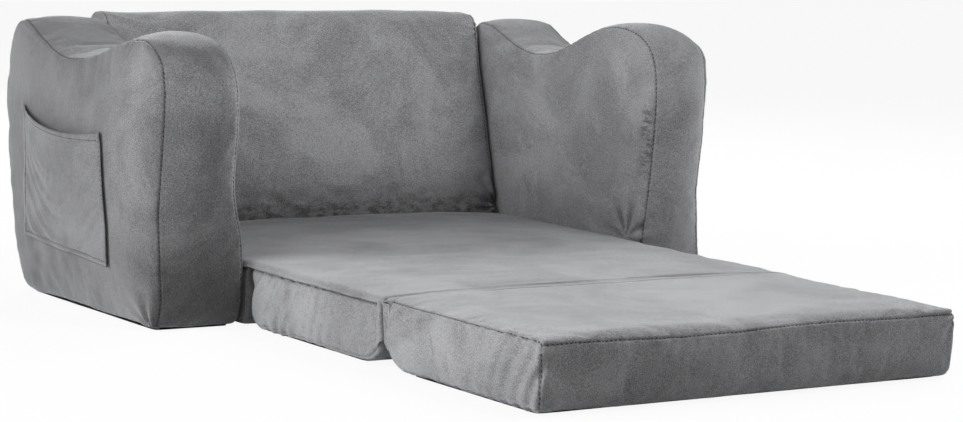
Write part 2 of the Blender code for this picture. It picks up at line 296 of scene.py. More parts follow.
def seamTree(curves, spacing=0.001):
    # Points along the seams, for the distance to the nearest and the place along it
    points, along, offset = [], [], 0.0
    for curve in curves:
        for a, b in zip(curve, curve[1:]):
            length = float(np.linalg.norm(b - a))
            steps = max(1, int(length / spacing))
            for step in range(steps):
                points.append(a + (b - a) * step / steps)
                along.append(offset + length * step / steps)
            offset += length
        offset += 1.0
    tree = kdtree.KDTree(len(points))
    for i, point in enumerate(points):
        tree.insert(point, i)
    tree.balance()
    return tree, np.array(along)


def seamDistance(coords, tree, along):
    distance, place = np.empty(len(coords)), np.empty(len(coords))
    for i, c in enumerate(coords):
        _, index, far = tree.find(c)
        distance[i], place[i] = far, along[index]
    return distance, place


def onSurface(piece, curve):
    tree = surfaceTree(piece)
    return np.array([tree.find_nearest(Vector(p))[0] for p in curve])


clothValues = {"mass": 0.3, "stretch": 15, "shear": 5, "frames": 20}


def simulate(piece, fixed, values):
    # Drapes the piece as cloth that is held at its fixed points, and caps how far it moves
    coords = coordsOf(piece)
    group = piece.vertex_groups.new(name="fixed")
    group.add([int(i) for i in np.flatnonzero(fixed)], 1.0, "REPLACE")
    modifier = piece.modifiers.new("Cloth", "CLOTH")
    cloth = modifier.settings
    cloth.quality = values["quality"]
    cloth.mass = clothValues["mass"]
    cloth.tension_stiffness = cloth.compression_stiffness = clothValues["stretch"]
    cloth.shear_stiffness = clothValues["shear"]
    cloth.bending_stiffness = values["bending"]
    cloth.shrink_min = -values["slack"]
    cloth.vertex_group_mass = group.name
    if "pressure" in values:
        cloth.use_pressure = True
        cloth.uniform_pressure_force = values["pressure"]
        cloth.effector_weights.gravity = 0.0
    modifier.collision_settings.use_collision = False
    modifier.point_cache.frame_start, modifier.point_cache.frame_end = 1, clothValues["frames"]
    for number in range(1, clothValues["frames"] + 1):
        bpy.context.scene.frame_set(number)
    applyModifier(piece, modifier)
    bpy.context.scene.frame_set(1)
    piece.vertex_groups.clear()
    moved = coordsOf(piece) - coords
    length = np.linalg.norm(moved, axis=1)
    cap = values["cap"]
    setCoords(piece, coords + moved * (cap * np.tanh(length / cap) / np.maximum(length, 1e-9))[:, None])


# What all seams share: the sizes of their patches and ticks, and how their painted shade darkens the
# pile
seamMarks = {
    "patchSize": 0.09,
    "lumpSize": 0.07,
    "darkWidth": 0.75,
    "footDark": 0.7,
    "footTop": 0.0055,
    "tickPitch": 0.0060,
    "tickPatch": 0.11,
    "tickReach": 0.006,
}


def sewSeams(piece, values, curves, seed):
    # Pulls the seams in, with puckers that run away from them
    curves = [onSurface(piece, curve) for curve in curves]
    tree, along = seamTree(curves)
    refine(piece, seamDistance(coordsOf(piece), tree, along)[0], values["refine"])
    coords, normals = coordsOf(piece), normalsFrom(piece)
    distance, place = seamDistance(coords, tree, along)
    groove = values["seamDepth"] * hill(distance, 0, values["seamWidth"])
    patchy = np.clip(noiseAlong(place, seamMarks["patchSize"], seed) + 0.35, 0, 1)
    ripple = noiseAlong(place, values["puckerPitch"], seed + 1)
    pucker = values["pucker"] * patchy * ripple * np.exp(-distance / values["puckerReach"])
    broad = values["uneven"] * unevenness(coords, seamMarks["lumpSize"], seed)
    setCoords(piece, coords + normals * (broad + pucker - groove)[:, None])
    # Painted shade in the seam grooves, and along the foot where the cloth meets the floor
    dark = hill(distance, 0, seamMarks["darkWidth"] * values["seamWidth"])
    atFoot = np.clip((seamMarks["footTop"] - coords[:, 2]) / 0.002, 0, 1)
    mark(piece, "seam", np.maximum(dark, seamMarks["footDark"] * atFoot))
    # Painted shade beside the seams, in short dark ticks that point away from them
    ticks = np.clip(noiseAlong(place, seamMarks["tickPitch"], seed + 4), 0, 1)
    ticks *= np.clip(noiseAlong(place, seamMarks["tickPatch"], seed + 6) + 0.25, 0, 1)
    reach = seamMarks["tickReach"]
    mark(piece, "pileAndPaintedLight", -values["paintedCreaseShade"] * ticks * hill(distance, reach, reach))
    return curves


def sinkChannel(piece, line, values):
    # A flat-bottomed channel in which the zip lies
    half, wall = values["channelHalf"], values["channelWall"]
    refine(piece, lineDistance(coordsOf(piece), line), half + values["refine"])
    coords, normals = coordsOf(piece), normalsFrom(piece)
    sunk = values["channelDepth"] * (1 - fade(lineDistance(coords, line), half, half + wall))
    setCoords(piece, coords - normals * sunk[:, None])


# Painted shade (below 0) and painted highlights (above 0) of single spots, each with the heights between
# which it fades out or in
paintedLightSpots = {
    "armFoot": (-0.62, 0.03, 0.20),
    "backFoot": (-0.70, 0.09, 0.17),
    "backCreaseShade": (0.70, 0.092, 0.120),
    "innerRim": (1.5, 0.12, 0.20),
    "crest": (0.9, 0.325, 0.345),
}
# Painted light in bands, each with its middle and its half width
paintedLightBands = {"behindSeam": (0.24, 0.055, 0.035), "stripHigh": (0.42, 0.285, 0.028)}
# Painted shade of a fan of crumples at the right arm's inner foot corner
paintedFanShade = {"shade": -2.6, "most": 0.25, "behind": 0.032, "height": 0.084, "folds": 8, "reach": 0.024}
# Painted shade of short pucker ticks beside the right arm's front seam: its half width, and the heights
# where it starts, is full, starts to fade and ends
paintedTickBand = {"width": 0.010, "inside": 0.0095, "heights": (0.140, 0.175, 0.245, 0.285)}


def paintLightByFacing(piece, naps):
    # Painted light and shade: how much lighter or darker the pile of each panel is made, by the way that
    # it faces
    coords, normals = coordsOf(piece), normalsFrom(piece)
    ahead, back, height = np.clip(-normals[:, 1], 0, 1), coords[:, 1] - armFront, coords[:, 2]
    pileAndPaintedLight = np.empty(len(coords), np.float32)
    piece.data.attributes["pileAndPaintedLight"].data.foreach_get("value", pileAndPaintedLight)
    pileAndPaintedLight = pileAndPaintedLight.astype(float)
    paintedCreaseShade = np.zeros(len(coords))

    def low(spot):
        shade, start, end = paintedLightSpots[spot]
        return shade * (1 - fade(height, start, end)) * ahead

    for axis, sign, shade in naps:
        pileAndPaintedLight += shade * np.clip(sign * normals[:, axis], 0, 1) ** 2
    # Painted shade towards the foot of the arms' and the back's fronts, and painted crease shade along
    # the back's crumpled foot
    if "arm" in piece.name:
        pileAndPaintedLight += low("armFoot")
    if "back" in piece.name:
        pileAndPaintedLight += low("backFoot")
        paintedCreaseShade = low("backCreaseShade")
    if piece.name == "left_arm_pad":
        # Painted light: a brighter band behind the front seam and high on the strip
        shade, middle, width = paintedLightBands["behindSeam"]
        band = hill(back, middle, width) * fade(height, 0.03, 0.14)
        pileAndPaintedLight += shade * band * np.clip(-normals[:, 0], 0, 1) ** 2
        shade, middle, width = paintedLightBands["stripHigh"]
        pileAndPaintedLight += shade * hill(height, middle, width) * ahead
        # Painted highlights along the inner front edge and on the crest
        shade, start, end = paintedLightSpots["innerRim"]
        pileAndPaintedLight += shade * (2 * np.clip(normals[:, 0], 0, 1) * ahead) ** 2 * fade(height, start, end)
        shade, start, end = paintedLightSpots["crest"]
        pileAndPaintedLight += shade * fade(normals[:, 2], 0.75, 1.0) * fade(height, start, end) * (back < 0.2)
    if piece.name == "right_arm_pad":
        # Painted shade on the inner panel: ticks along the front seam and a fan at its foot
        inside, heights = coords[:, 0] - halfInner, paintedTickBand["heights"]
        tall = fade(height, *heights[:2]) * (1 - fade(height, *heights[2:]))
        paintedCreaseShade = hill(back, 0, paintedTickBand["width"]) * (inside < paintedTickBand["inside"]) * tall
        corner = (halfInner, armFront + paintedFanShade["behind"], paintedFanShade["height"])
        crumpled = fan(coords, corner, (1, 2), paintedFanShade["folds"], 1.0, paintedFanShade["reach"])
        pileAndPaintedLight += paintedFanShade["shade"] * np.clip(crumpled, 0, paintedFanShade["most"]) * (inside < 0.008)
    mark(piece, "pileAndPaintedLight", pileAndPaintedLight)
    mark(piece, "paintedCreaseShade", paintedCreaseShade)


# ---- Stitches: short dashes of thread that lie in the seams


def stitchRow(bm, curve, normals, values):
    along = np.concatenate([[0], np.cumsum(np.linalg.norm(np.diff(curve, axis=0), axis=1))])
    half, girth = values["length"] / 2, values["girth"]

    def at(s):
        return Vector([np.interp(s, along, curve[:, k]) for k in range(3)])

    s = values["pitch"]
    while s < along[-1] - values["pitch"]:
        index = min(int(np.searchsorted(along, s)), len(normals) - 1)
        up = Vector(normals[index])
        one, two = at(s - half), at(s + half)
        ahead = (two - one).normalized()
        aside = up.cross(ahead).normalized()
        rings = []
        for share, size in ((0.0, 0.5), (0.25, 1.0), (0.75, 1.0), (1.0, 0.5)):
            middle = one.lerp(two, share) - up * values["sink"] * (1.0 - size)
            ring = []
            for k in range(6):
                angle = k * math.pi / 3
                outward = aside * math.cos(angle) + up * math.sin(angle)
                ring.append(bm.verts.new(middle + outward * girth * size))
            rings.append(ring)
        for a, b in zip(rings, rings[1:]):
            for k in range(6):
                bm.faces.new((a[k], a[(k + 1) % 6], b[(k + 1) % 6], b[k]))
        bm.faces.new(rings[0][::-1])
        bm.faces.new(rings[-1])
        s += values["pitch"]


def stitchPiece(name, piece, curves, values, body):
    tree = surfaceTree(piece)
    bm = bmesh.new()
    for curve in curves:
        found = [tree.find_nearest(Vector(p)) for p in curve]
        normals = np.array([f[1] for f in found])
        places = np.array([f[0] for f in found]) + normals * values["stand"]
        stitchRow(bm, places, normals, values)
    made = fromMesh(name, bm)
    clothe(made, "thread")
    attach(made, body)
    return made


# ---- Materials


def feed(tree, target, value):
    # The value is a number, a colour or the socket that supplies it
    if isinstance(value, bpy.types.NodeSocket):
        tree.links.new(value, target)
    else:
        target.default_value = value


def node(tree, kind, **inputs):
    made = tree.nodes.new("ShaderNode" + kind)
    for key, value in inputs.items():
        feed(tree, made.inputs[key.replace("_", " ")], value)
    return made


def noiseNode(tree, place, size, detail, roughness, distortion=0.0):
    made = node(tree, "TexNoise", Vector=place, Scale=size, Detail=detail, Roughness=roughness)
    made.inputs["Distortion"].default_value = distortion
    return made.outputs["Fac"]


def maths(tree, operation, one, two, clamp=False):
    made = tree.nodes.new("ShaderNodeMath")
    made.operation, made.use_clamp = operation, clamp
    feed(tree, made.inputs[0], one)
    feed(tree, made.inputs[1], two)
    return made.outputs[0]


def mix(tree, kind, factor, one, two, blend="MIX"):
    made = tree.nodes.new("ShaderNodeMix")
    made.data_type, made.blend_type = kind, blend
    for key, value in (("Factor", factor), ("A", one), ("B", two)):
        feed(tree, made.inputs[key], value)
    return made.outputs["Result"]


def ramp(tree, source, low, high):
    # low and high are each a place from 0 to 1 and the grey or colour there
    made = node(tree, "ValToRGB", Fac=source)
    for element, (place, colour) in zip(made.color_ramp.elements, (low, high)):
        element.position = place
        element.color = (*colour, 1.0) if isinstance(colour, tuple) else (colour, colour, colour, 1.0)
    return made.outputs["Color"]


def stored(tree, name):
    made = tree.nodes.new("ShaderNodeAttribute")
    made.attribute_name = name
    return made.outputs["Fac"]


def newMaterial(name, roughness):
    material = bpy.data.materials.new(name)
    material.use_nodes = True
    tree = material.node_tree
    shader = tree.nodes["Principled BSDF"]
    shader.inputs["Roughness"].default_value = roughness
    return material, tree, shader


def objectPlace(tree):
    return tree.nodes.new("ShaderNodeTexCoord").outputs["Object"]


velvetLook = {
    "deep": (0.098, 0.099, 0.103),
    "pale": (0.262, 0.263, 0.269),
    "roughness": 0.85,
    "sheen": 0.70,
    "sheenRoughness": 0.38,
    "sheenTint": (0.92, 0.93, 0.96, 1.0),
    "brushSize": 8.0,
    "brushSpread": (0.38, 0.62),
    "smallSize": 56.0,
    "smallShare": 0.30,
    "napSize": 720.0,
    "napSpread": (0.41, 0.59),
    "napShare": 0.53,
    "seamShade": (0.62, 0.62, 0.63, 1.0),
    "tickSize": 150.0,
    "tickStretch": (0.45, 0.35, 1.0),
    "tickSpread": (0.45, 0.60),
    "tickShade": 0.86,
    "pileDepth": 0.0016,
    "brushDepth": 0.004,
}


def velvetMaterial(name, values):
    # Brushed plush: broad nap marks and a fine pile, with painted shade in the seams and in ticks, and
    # the stored painted light and shade
    material, tree, shader = newMaterial(name, values["roughness"])
    place = objectPlace(tree)
    shader.inputs["Sheen Weight"].default_value = values["sheen"]
    shader.inputs["Sheen Roughness"].default_value = values["sheenRoughness"]
    shader.inputs["Sheen Tint"].default_value = values["sheenTint"]
    shader.inputs["Specular IOR Level"].default_value = 0.15
    brush = noiseNode(tree, place, values["brushSize"], 5.0, 0.62, 0.9)
    small = noiseNode(tree, place, values["smallSize"], 4.0, 0.6)
    pileAndPaintedLight = noiseNode(tree, place, values["napSize"], 3.0, 0.7)

    def spread(source, key, top=1.0):
        low, high = values[key]
        return ramp(tree, source, (low, 0.0), (high, top))

    shade = mix(tree, "FLOAT", values["smallShare"], spread(brush, "brushSpread"), small)
    shade = mix(tree, "FLOAT", values["napShare"], shade, spread(pileAndPaintedLight, "napSpread"))
    colour = ramp(tree, shade, (0.15, values["deep"]), (0.85, values["pale"]))
    # Painted shade in the seams and along the foot
    colour = mix(tree, "RGBA", stored(tree, "seam"), colour, values["seamShade"], "MULTIPLY")
    # Painted crease shade, in short ragged ticks that lie level in the pile
    level = node(tree, "Mapping", Vector=place, Scale=values["tickStretch"]).outputs["Vector"]
    ragged = noiseNode(tree, level, values["tickSize"], 3.0, 0.6)
    ragged = spread(ragged, "tickSpread", values["tickShade"])
    ticks = maths(tree, "MULTIPLY", ragged, stored(tree, "paintedCreaseShade"))
    # The stored painted light and shade scale the colour
    lift = maths(tree, "SUBTRACT", maths(tree, "ADD", stored(tree, "pileAndPaintedLight"), 1.0), ticks)
    scaled = tree.nodes.new("ShaderNodeVectorMath")
    scaled.operation = "SCALE"
    feed(tree, scaled.inputs[0], colour)
    feed(tree, scaled.inputs["Scale"], lift)
    feed(tree, shader.inputs["Base Color"], scaled.outputs["Vector"])
    fine = node(tree, "Bump", Height=pileAndPaintedLight, Strength=0.8, Distance=values["pileDepth"]).outputs["Normal"]
    broad = node(tree, "Bump", Height=small, Strength=0.25, Distance=values["brushDepth"], Normal=fine)
    feed(tree, shader.inputs["Normal"], broad.outputs["Normal"])
    return material


def plainClothMaterial(name, deep, pale, scale):
    # Woven cloth: crossed threads in object space
    material, tree, shader = newMaterial(name, 0.9)
    shader.inputs["Specular IOR Level"].default_value = 0.2
    place = objectPlace(tree)
    threads = []
    for direction in ("X", "Y"):
        wave = node(tree, "TexWave", Vector=place, Scale=scale, Distortion=0.6, Detail=1.0)
        wave.wave_type, wave.bands_direction = "BANDS", direction
        threads.append(wave.outputs["Fac"])
    weave = maths(tree, "MULTIPLY", *threads)
    feed(tree, shader.inputs["Base Color"], ramp(tree, weave, (0.1, deep), (0.9, pale)))
    bump = node(tree, "Bump", Height=weave, Strength=0.4, Distance=0.0006)
    feed(tree, shader.inputs["Normal"], bump.outputs["Normal"])
    return material


def metalMaterial(name):
    # Worn plating, with spots where it is more polished
    material, tree, shader = newMaterial(name, 0.4)
    shader.inputs["Metallic"].default_value = 1.0
    shader.inputs["Base Color"].default_value = (0.42, 0.42, 0.43, 1.0)
    worn = noiseNode(tree, objectPlace(tree), 700.0, 4.0, 0.5)
    feed(tree, shader.inputs["Roughness"], ramp(tree, worn, (0.3, 0.28), (0.7, 0.48)))
    bump = node(tree, "Bump", Height=worn, Strength=0.15, Distance=0.0002)
    feed(tree, shader.inputs["Normal"], bump.outputs["Normal"])
    return material


print("materials")
# Woven cloths and threads: their deep and pale colours, and how fine they are
wovenLooks = {
    "lining": ("black lining cloth", (0.012, 0.012, 0.013), (0.045, 0.045, 0.048), 900.0),
    "tape": ("grey zip tape", (0.03, 0.03, 0.032), (0.09, 0.09, 0.095), 1400.0),
    "thread": ("dark seam thread", (0.020, 0.020, 0.022), (0.050, 0.050, 0.054), 2500.0),
    "teeth": ("dark zip teeth", (0.040, 0.040, 0.042), (0.070, 0.070, 0.074), 1800.0),
}
looks = {key: plainClothMaterial(*values) for key, values in wovenLooks.items()}
looks["velvet"] = velvetMaterial("grey plush velvet", velvetLook)
looks["metal"] = metalMaterial("zip metal")


# ---- Places of the zips: a face's middle, how far it leans down, and 1 where it looks to +Y

zipFaces = {
    "length": 0.420,
    "foot": 0.030,
    "foldRadius": 0.042,
    "coverFoot": 0.0018,
    "seam": 0.00105,
    "backDepth": 0.090,
    "backLean": 0.032,
    "backTop": 0.361,
    "facets": 4,
}


def zipPlace(name):
    if name == "back_rest":
        lean = math.atan2(zipFaces["backLean"], zipFaces["backTop"] - zipFaces["coverFoot"])
        y = backFront + zipFaces["backDepth"] + zipFaces["foot"] * math.tan(lean)
        return Vector((0.0, y, zipFaces["coverFoot"] + zipFaces["foot"])), lean, 1
    # The fold's rounding has a few flat facets, and the zip lies on the second from the side
    ahead = -1 if name == "middle_section" else 1
    facet, radius = math.radians(90) / zipFaces["facets"], zipFaces["foldRadius"]
    tilt, reach = 1.5 * facet, radius * math.cos(facet / 2)
    y = sofa["foldTwo"] - ahead * (zipFaces["seam"] + radius - reach * math.cos(tilt))
    return Vector((0.0, y, zipFaces["coverFoot"] + radius - reach * math.sin(tilt))), tilt, ahead


def zipLine(name):
    if name not in ("back_rest", "middle_section", "end_section"):
        return None
    middle, half = zipPlace(name)[0], zipFaces["length"] / 2
    return np.array([[x, middle.y, middle.z] for x in np.linspace(-half, half, 60)])


def lineDistance(coords, line):
    # How far each point is from a straight line along X
    past = np.maximum(np.abs(coords[:, 0]) - line[-1][0], 0)
    return np.sqrt(past ** 2 + (coords[:, 1] - line[0][1]) ** 2 + (coords[:, 2] - line[0][2]) ** 2)


# ---- Padded pieces

# What all padded pieces share: their mesh, cloth and seams, and the channel of a zip
padValues = {
    "voxel": 0.0057,
    "pressure": 4.0,
    "bending": 0.5,
    "quality": 4,
    "seamHold": 0.004,
    "seamWidth": 0.0016,
    "refine": 0.006,
    "channelHalf": 0.0078,
    "channelDepth": 0.0032,
    "channelWall": 0.002,
    "channelHold": 0.014,
}
# Per padded piece: an axis, a direction along it and the painted light (above 0) and painted shade
# (below 0) of the pile that faces there
paintedFacingLight = {
    "left_arm_pad": [(1, -1, 0.06), (2, 1, -0.62), (0, -1, -0.16)],
    "right_arm_pad": [(0, -1, 0.60), (1, -1, 0.46), (2, 1, -0.10)],
    "back_rest_pad": [(1, -1, 0.90), (2, 1, 0.10)],
    "seat_base_pad": [(0, -1, -0.40), (1, -1, -0.40)],
    "middle_section_pad": [(0, -1, 0.62), (0, 1, 0.50)],
    "end_section_pad": [(0, -1, 0.62), (0, 1, 0.50), (2, 1, 0.72)],
}


def fan(coords, centre, axes, folds, height, reach):
    # Folds that spread from a point, in the plane of two axes
    away = coords - np.array(centre)
    far = np.linalg.norm(away, axis=1)
    angle = np.arctan2(away[:, axes[1]], away[:, axes[0]])
    wander = 1.6 * unevenness(coords, 0.05, folds)
    return height * np.sin(folds * angle + wander) * np.exp(-far / reach) * fade(far, 0.0, 0.4 * reach)


def slants(coords, centre, pitch, slope, height, reach):
    # Slanting creases on a side panel, strongest at a point
    far = np.linalg.norm(coords - np.array(centre), axis=1)
    wave = (coords[:, 1] + slope * coords[:, 2]) / pitch + 0.7 * unevenness(coords, 0.06, 5)
    return height * np.sin(2 * math.pi * wave) * np.exp(-(far / reach) ** 2)


# Folds of each padded piece: fans as (middle, axes, folds, height, reach), and slanting
# creases of the side panels as (middle, pitch, slope, height, reach)
foldTable = {
    "left_arm_pad": {
        "fans": [
            ((-outerArm, armFront + 0.02, 0.0), (1, 2), 9, 0.0030, 0.030),
            ((-outerArm + 0.01, armFront, 0.31), (1, 2), 7, 0.0016, 0.020),
        ],
        "slants": [((-outerArm, 0.40, 0.09), 0.05, -0.8, 0.0008, 0.08)],
    },
    "right_arm_pad": {"fans": [((halfInner, armFront + 0.03, 0.085), (1, 2), 9, 0.0038, 0.028)]},
    "back_rest_pad": {
        "fans": [
            ((halfInner, backFront + 0.01, 0.09), (0, 2), 11, 0.0035, 0.035),
            ((halfInner, backFront + 0.08, 0.34), (0, 2), 9, 0.0016, 0.03),
        ],
    },
    "middle_section_pad": {
        "slants": [
            ((-halfInner, armFront - 0.05, 0.055), 0.026, 0.6, 0.0026, 0.06),
            ((-halfInner, armFront - 0.13, 0.060), 0.020, 0.5, 0.0014, 0.07),
        ],
    },
    "end_section_pad": {
        "fans": [
            ((halfInner, sofa["freeEnd"], 0.078), (0, 2), 9, 0.0030, 0.030),
            ((-halfInner, sofa["freeEnd"], 0.078), (0, 2), 7, 0.0014, 0.022),
        ],
        "slants": [((-halfInner, sofa["freeEnd"] + 0.03, 0.045), 0.022, 0.25, 0.0022, 0.06)],
    },
}
gatherValues = {"height": 0.0022, "reach": 0.010, "pitch": 0.0065}
crumpleValues = {"height": 0.0045, "size": 0.028, "flatness": 1.7}


def creasesOf(name, coords):
    folds = foldTable.get(name, {})
    side = np.abs(coords[:, 0]) > halfInner - 0.012
    found = np.zeros(len(coords))
    if name == "back_rest_pad":
        # Crumples along the foot of its front
        foot = (1 - fade(coords[:, 2], 0.095, 0.150)) * (coords[:, 1] < backFront + 0.045)
        flatter = coords * np.array([1, 1, crumpleValues["flatness"]])
        lumps = unevenness(flatter, crumpleValues["size"], 9)
        found += crumpleValues["height"] * lumps * foot
    for fold in folds.get("fans", ()):
        found += fan(coords, *fold)
    for fold in folds.get("slants", ()):
        found += side * slants(coords, *fold)
    if name == "right_arm_pad":
        # Short ticks where the strip was gathered against the inner panel
        beside = np.exp(-np.abs(coords[:, 1] - armFront - 0.012) / gatherValues["reach"])
        tall = fade(coords[:, 2], 0.10, 0.14) * (1 - fade(coords[:, 2], 0.24, 0.28))
        ticks = noiseAlong(coords[:, 2] + 0.2 * coords[:, 1], gatherValues["pitch"], 14)
        found += gatherValues["height"] * ticks * beside * tall * (coords[:, 0] < halfInner + 0.03)
    return found


def resting(coords):
    return coords[:, 2] < sofa["clothFoot"] + 0.002


def finishPad(piece, values, curves, held, low, high, body, nodes, seed, tuck=None):
    # The cloth stays between the corners low and high, and held says where it can't move
    line = zipLine(nodes[0].replace("_cover", ""))
    remesh(piece, values["voxel"])
    coords = coordsOf(piece)
    fixed = held(coords) | (seamDistance(coords, *seamTree(curves))[0] < values["seamHold"])
    if line is not None:
        fixed |= lineDistance(coords, line) < values["channelHold"]
    simulate(piece, fixed, values)
    subdivide(piece)
    curves = sewSeams(piece, values, curves, seed)
    if line is not None:
        sinkChannel(piece, line, values)
    coords, normals = coordsOf(piece), normalsFrom(piece)
    coords += normals * creasesOf(piece.name, coords)[:, None]
    if tuck is not None:
        coords = tuck(coords)
    setCoords(piece, np.clip(coords, low, high))
    paintLightByFacing(piece, paintedFacingLight[piece.name])
    clothe(piece, "velvet")
    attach(piece, body)
    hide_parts(*nodes)
    print(piece.name, len(piece.data.polygons), "faces")
    return curves


def closed(ring):
    return np.vstack([ring, ring[:1]])


armValues = {
    **padValues,
    "innerEdge": {"front": 0.020, "top": 0.007, "rear": 0.010, "foot": 0.006},
    "outerEdge": {"front": 0.010, "top": 0.007, "rear": 0.012, "foot": 0.008},
    "frontDrop": 0.028,
    "outerBulge": 0.008,
    "crown": 0.004,
    "inset": 0.002,
    "innerGap": 0.0014,
    "innerSeam": 3,
    "least": 0.006,
    "humpReach": (0.12, 0.26),
    "humpHeights": (0.22, 0.33),
    "taperReach": (0.0, 0.12),
    "taperHeights": (0.10, 0.18),
    "roundReach": (0.06, 0.16),
    "roundHeights": (0.24, 0.33),
    "dropReach": (0.26, 0.34),
    "dropLeast": 0.25,
    "footEase": (0.04, 0.10),
    "innerHold": 0.0034,
    "innerClear": 0.0008,
    "widest": 0.460,
    "highest": 0.004,
    "stitchFoot": 0.012,
    "slack": 0.006,
    "cap": 0.004,
    "seamDepth": 0.0012,
    "pucker": 0.0012,
    "puckerPitch": 0.007,
    "puckerReach": 0.013,
    "paintedCreaseShade": 0.2,
    "uneven": 0.0016,
    "fill": 0.85,
}
# How far each arm's cloth is pulled: its hump, its outer top edge, its inner face in front
armPulls = {
    "left": {"hump": 0.013, "topDrop": 0.006, "taper": 0.014, "topRound": 0.026},
    "right": {"hump": 0.000, "topDrop": 0.014, "taper": 0.000, "topRound": 0.008},
}
stitchValues = {"pitch": 0.0058, "length": 0.0034, "girth": 0.00050, "sink": 0.0006, "stand": 0.0001}
# An arm's outline, as shares of its depth and its height
armShares = (
    (0.035, 0.0), (0.230, 0.0), (0.425, 0.0), (0.620, 0.0), (0.815, 0.0),
    (0.870, 0.040), (0.912, 0.12), (0.948, 0.24), (0.976, 0.38), (0.993, 0.53), (1.0, 0.67),
    (0.993, 0.80), (0.970, 0.895), (0.935, 0.948), (0.890, 0.962), (0.83, 0.948), (0.75, 0.908),
    (0.67, 0.876), (0.59, 0.864), (0.51, 0.876), (0.43, 0.908), (0.34, 0.953), (0.25, 0.988),
    (0.17, 1.0), (0.10, 0.994), (0.04, 0.968), (-0.004, 0.925), (-0.027, 0.865), (-0.034, 0.79),
    (-0.032, 0.68), (-0.022, 0.50), (-0.008, 0.33), (0.002, 0.18), (0.010, 0.05), (0.035, 0.0),
)


def armLoop(values):
    foot = sofa["clothFoot"]
    height = sofa["armHeight"] - foot - values["crown"] - values["inset"]
    points = [(armFront + y * sofa["armDepth"], foot + z * height) for y, z in armShares]
    return evenLoop(catmullRom(points, 6)[:-1], 0.006)


def facing(normals):
    # How far each point of the outline faces the front, the top, the rear and the foot
    ways = {"front": -normals[:, 0], "top": normals[:, 1], "rear": normals[:, 0], "foot": -normals[:, 1]}
    return {key: np.clip(way, 0, 1) ** 1.5 for key, way in ways.items()}


def edgeRadius(ways, edge):
    total = sum(ways.values())
    return sum(ways[key] * edge[key] for key in edge) / total


def makeArm(side, turn, values, pulls, seed):
    def nearFront(place, reach):
        # 1 up to the first distance behind the arm's front, and 0 past the second
        return 1 - fade(place[:, 0], armFront + reach[0], armFront + reach[1])

    def innerSide(place):
        tall = fade(place[:, 1], *values["taperHeights"])
        taper = pulls["taper"] * nearFront(place, values["taperReach"]) * tall
        return halfInner + values["innerGap"] + taper

    loop = armLoop(values)
    tall = fade(loop[:, 1], *values["humpHeights"])
    loop[:, 1] -= pulls["hump"] * nearFront(loop, values["humpReach"]) * tall
    ways = facing(outwards(loop))
    inner, outer = innerSide(loop), outerArm - values["inset"]
    # The rounding and the drop of the strip fade out towards the foot
    above = np.clip((loop[:, 1] - values["footEase"][0]) / values["footEase"][1], 0, 1)
    small = edgeRadius(ways, values["innerEdge"])
    tall = fade(loop[:, 1], *values["roundHeights"])
    small += (pulls["topRound"] - small) * nearFront(loop, values["roundReach"]) * tall
    small = values["least"] + (small - values["least"]) * above
    edge = edgeRadius(ways, values["outerEdge"])
    topDrop = pulls["topDrop"] * ways["top"] * nearFront(loop, values["dropReach"])
    least = values["dropLeast"]
    drop = (values["frontDrop"] * ways["front"] + topDrop) * (least + (1 - least) * above)
    none = np.zeros(len(loop))
    rows = []
    for step in range(6):
        angle = math.radians(90 - 18 * step)
        inset = small * (1 - math.cos(angle))
        rows.append((turn * (inner + small * (1 - math.sin(angle))), inset, none))
    start, finish = inner + small, outer - edge
    for share in np.arange(1, 11) / 11:
        rise = values["crown"] * (1 - (2 * share - 1) ** 2) * above
        rows.append((turn * (start + (finish - start) * share), drop * share ** 3, rise))
    outerSeam = len(rows)
    for step in range(6):
        angle = math.radians(18 * step)
        inset = drop + edge * (1 - math.cos(angle))
        rows.append((turn * (outer - edge * (1 - math.sin(angle))), inset, none))
    sides = (lambda place: turn * innerSide(place), lambda place: turn * outer)
    piece, rings = sewnShell(side + "_arm_pad", loop, rows, sides, (0.0, turn * values["outerBulge"]))
    curves = [closed(rings[values["innerSeam"]]), closed(rings[outerSeam])]

    def held(coords):
        return resting(coords) | (np.abs(coords[:, 0]) < halfInner + values["innerHold"])

    xs = sorted((turn * (halfInner + values["innerClear"]), turn * values["widest"]))
    low, high = (xs[0], -1, lowest), (xs[1], 1, sofa["armHeight"] + values["highest"])
    nodes = (side + "_arm_cover", side + "_arm_foam")
    curves = finishPad(piece, values, curves, held, low, high, "sofa", nodes, seed)
    shown = [c[c[:, 2] > values["stitchFoot"]] for c in curves]
    stitchPiece(side + "_arm_stitches", piece, shown, stitchValues, "sofa")
    return piece


arms = {}
for side, turn, seed in (("left", -1, 3), ("right", 1, 8)):
    arms[side] = makeArm(side, turn, armValues, armPulls[side], seed)

backValues = {
    **padValues,
    "frontLean": 0.072,
    "rearLean": 0.032,
    "topRadius": 0.020,
    "footRadius": 0.010,
    "bendRadius": 0.060,
    "crown": 0.005,
    "topCrown": 0.0035,
    "sideEdge": 0.006,
    "sideGap": 0.0012,
    "sideHold": 0.003,
    "frontGap": 0.0015,
    "frontClear": 0.0006,
    "side": 0.2997,
    "highest": 0.374,
    "stitchFoot": 0.006,
    "inset": 0.002,
    "slack": 0.010,
    "cap": 0.004,
    "seamDepth": 0.0013,
    "pucker": 0.0010,
    "puckerPitch": 0.008,
    "puckerReach": 0.012,
    "paintedCreaseShade": 0.8,
    "uneven": 0.0016,
    "fill": 0.8,
}


def blockRows(loop, half, edge, crown):
    # Rows from the left side panel to the right one; edge is the radius at each point
    none = np.zeros(len(loop))
    rounds = []
    for angle in np.radians(np.arange(5) * 22.5):
        rounds.append((half - edge * (1 - math.sin(angle)), edge * (1 - math.cos(angle)), none))
    rows = [(-x, inset, rise) for x, inset, rise in reversed(rounds)]
    for share in np.arange(-7, 8) / 8:
        rows.append((share * (half - edge), none, crown(share)))
    return rows + rounds


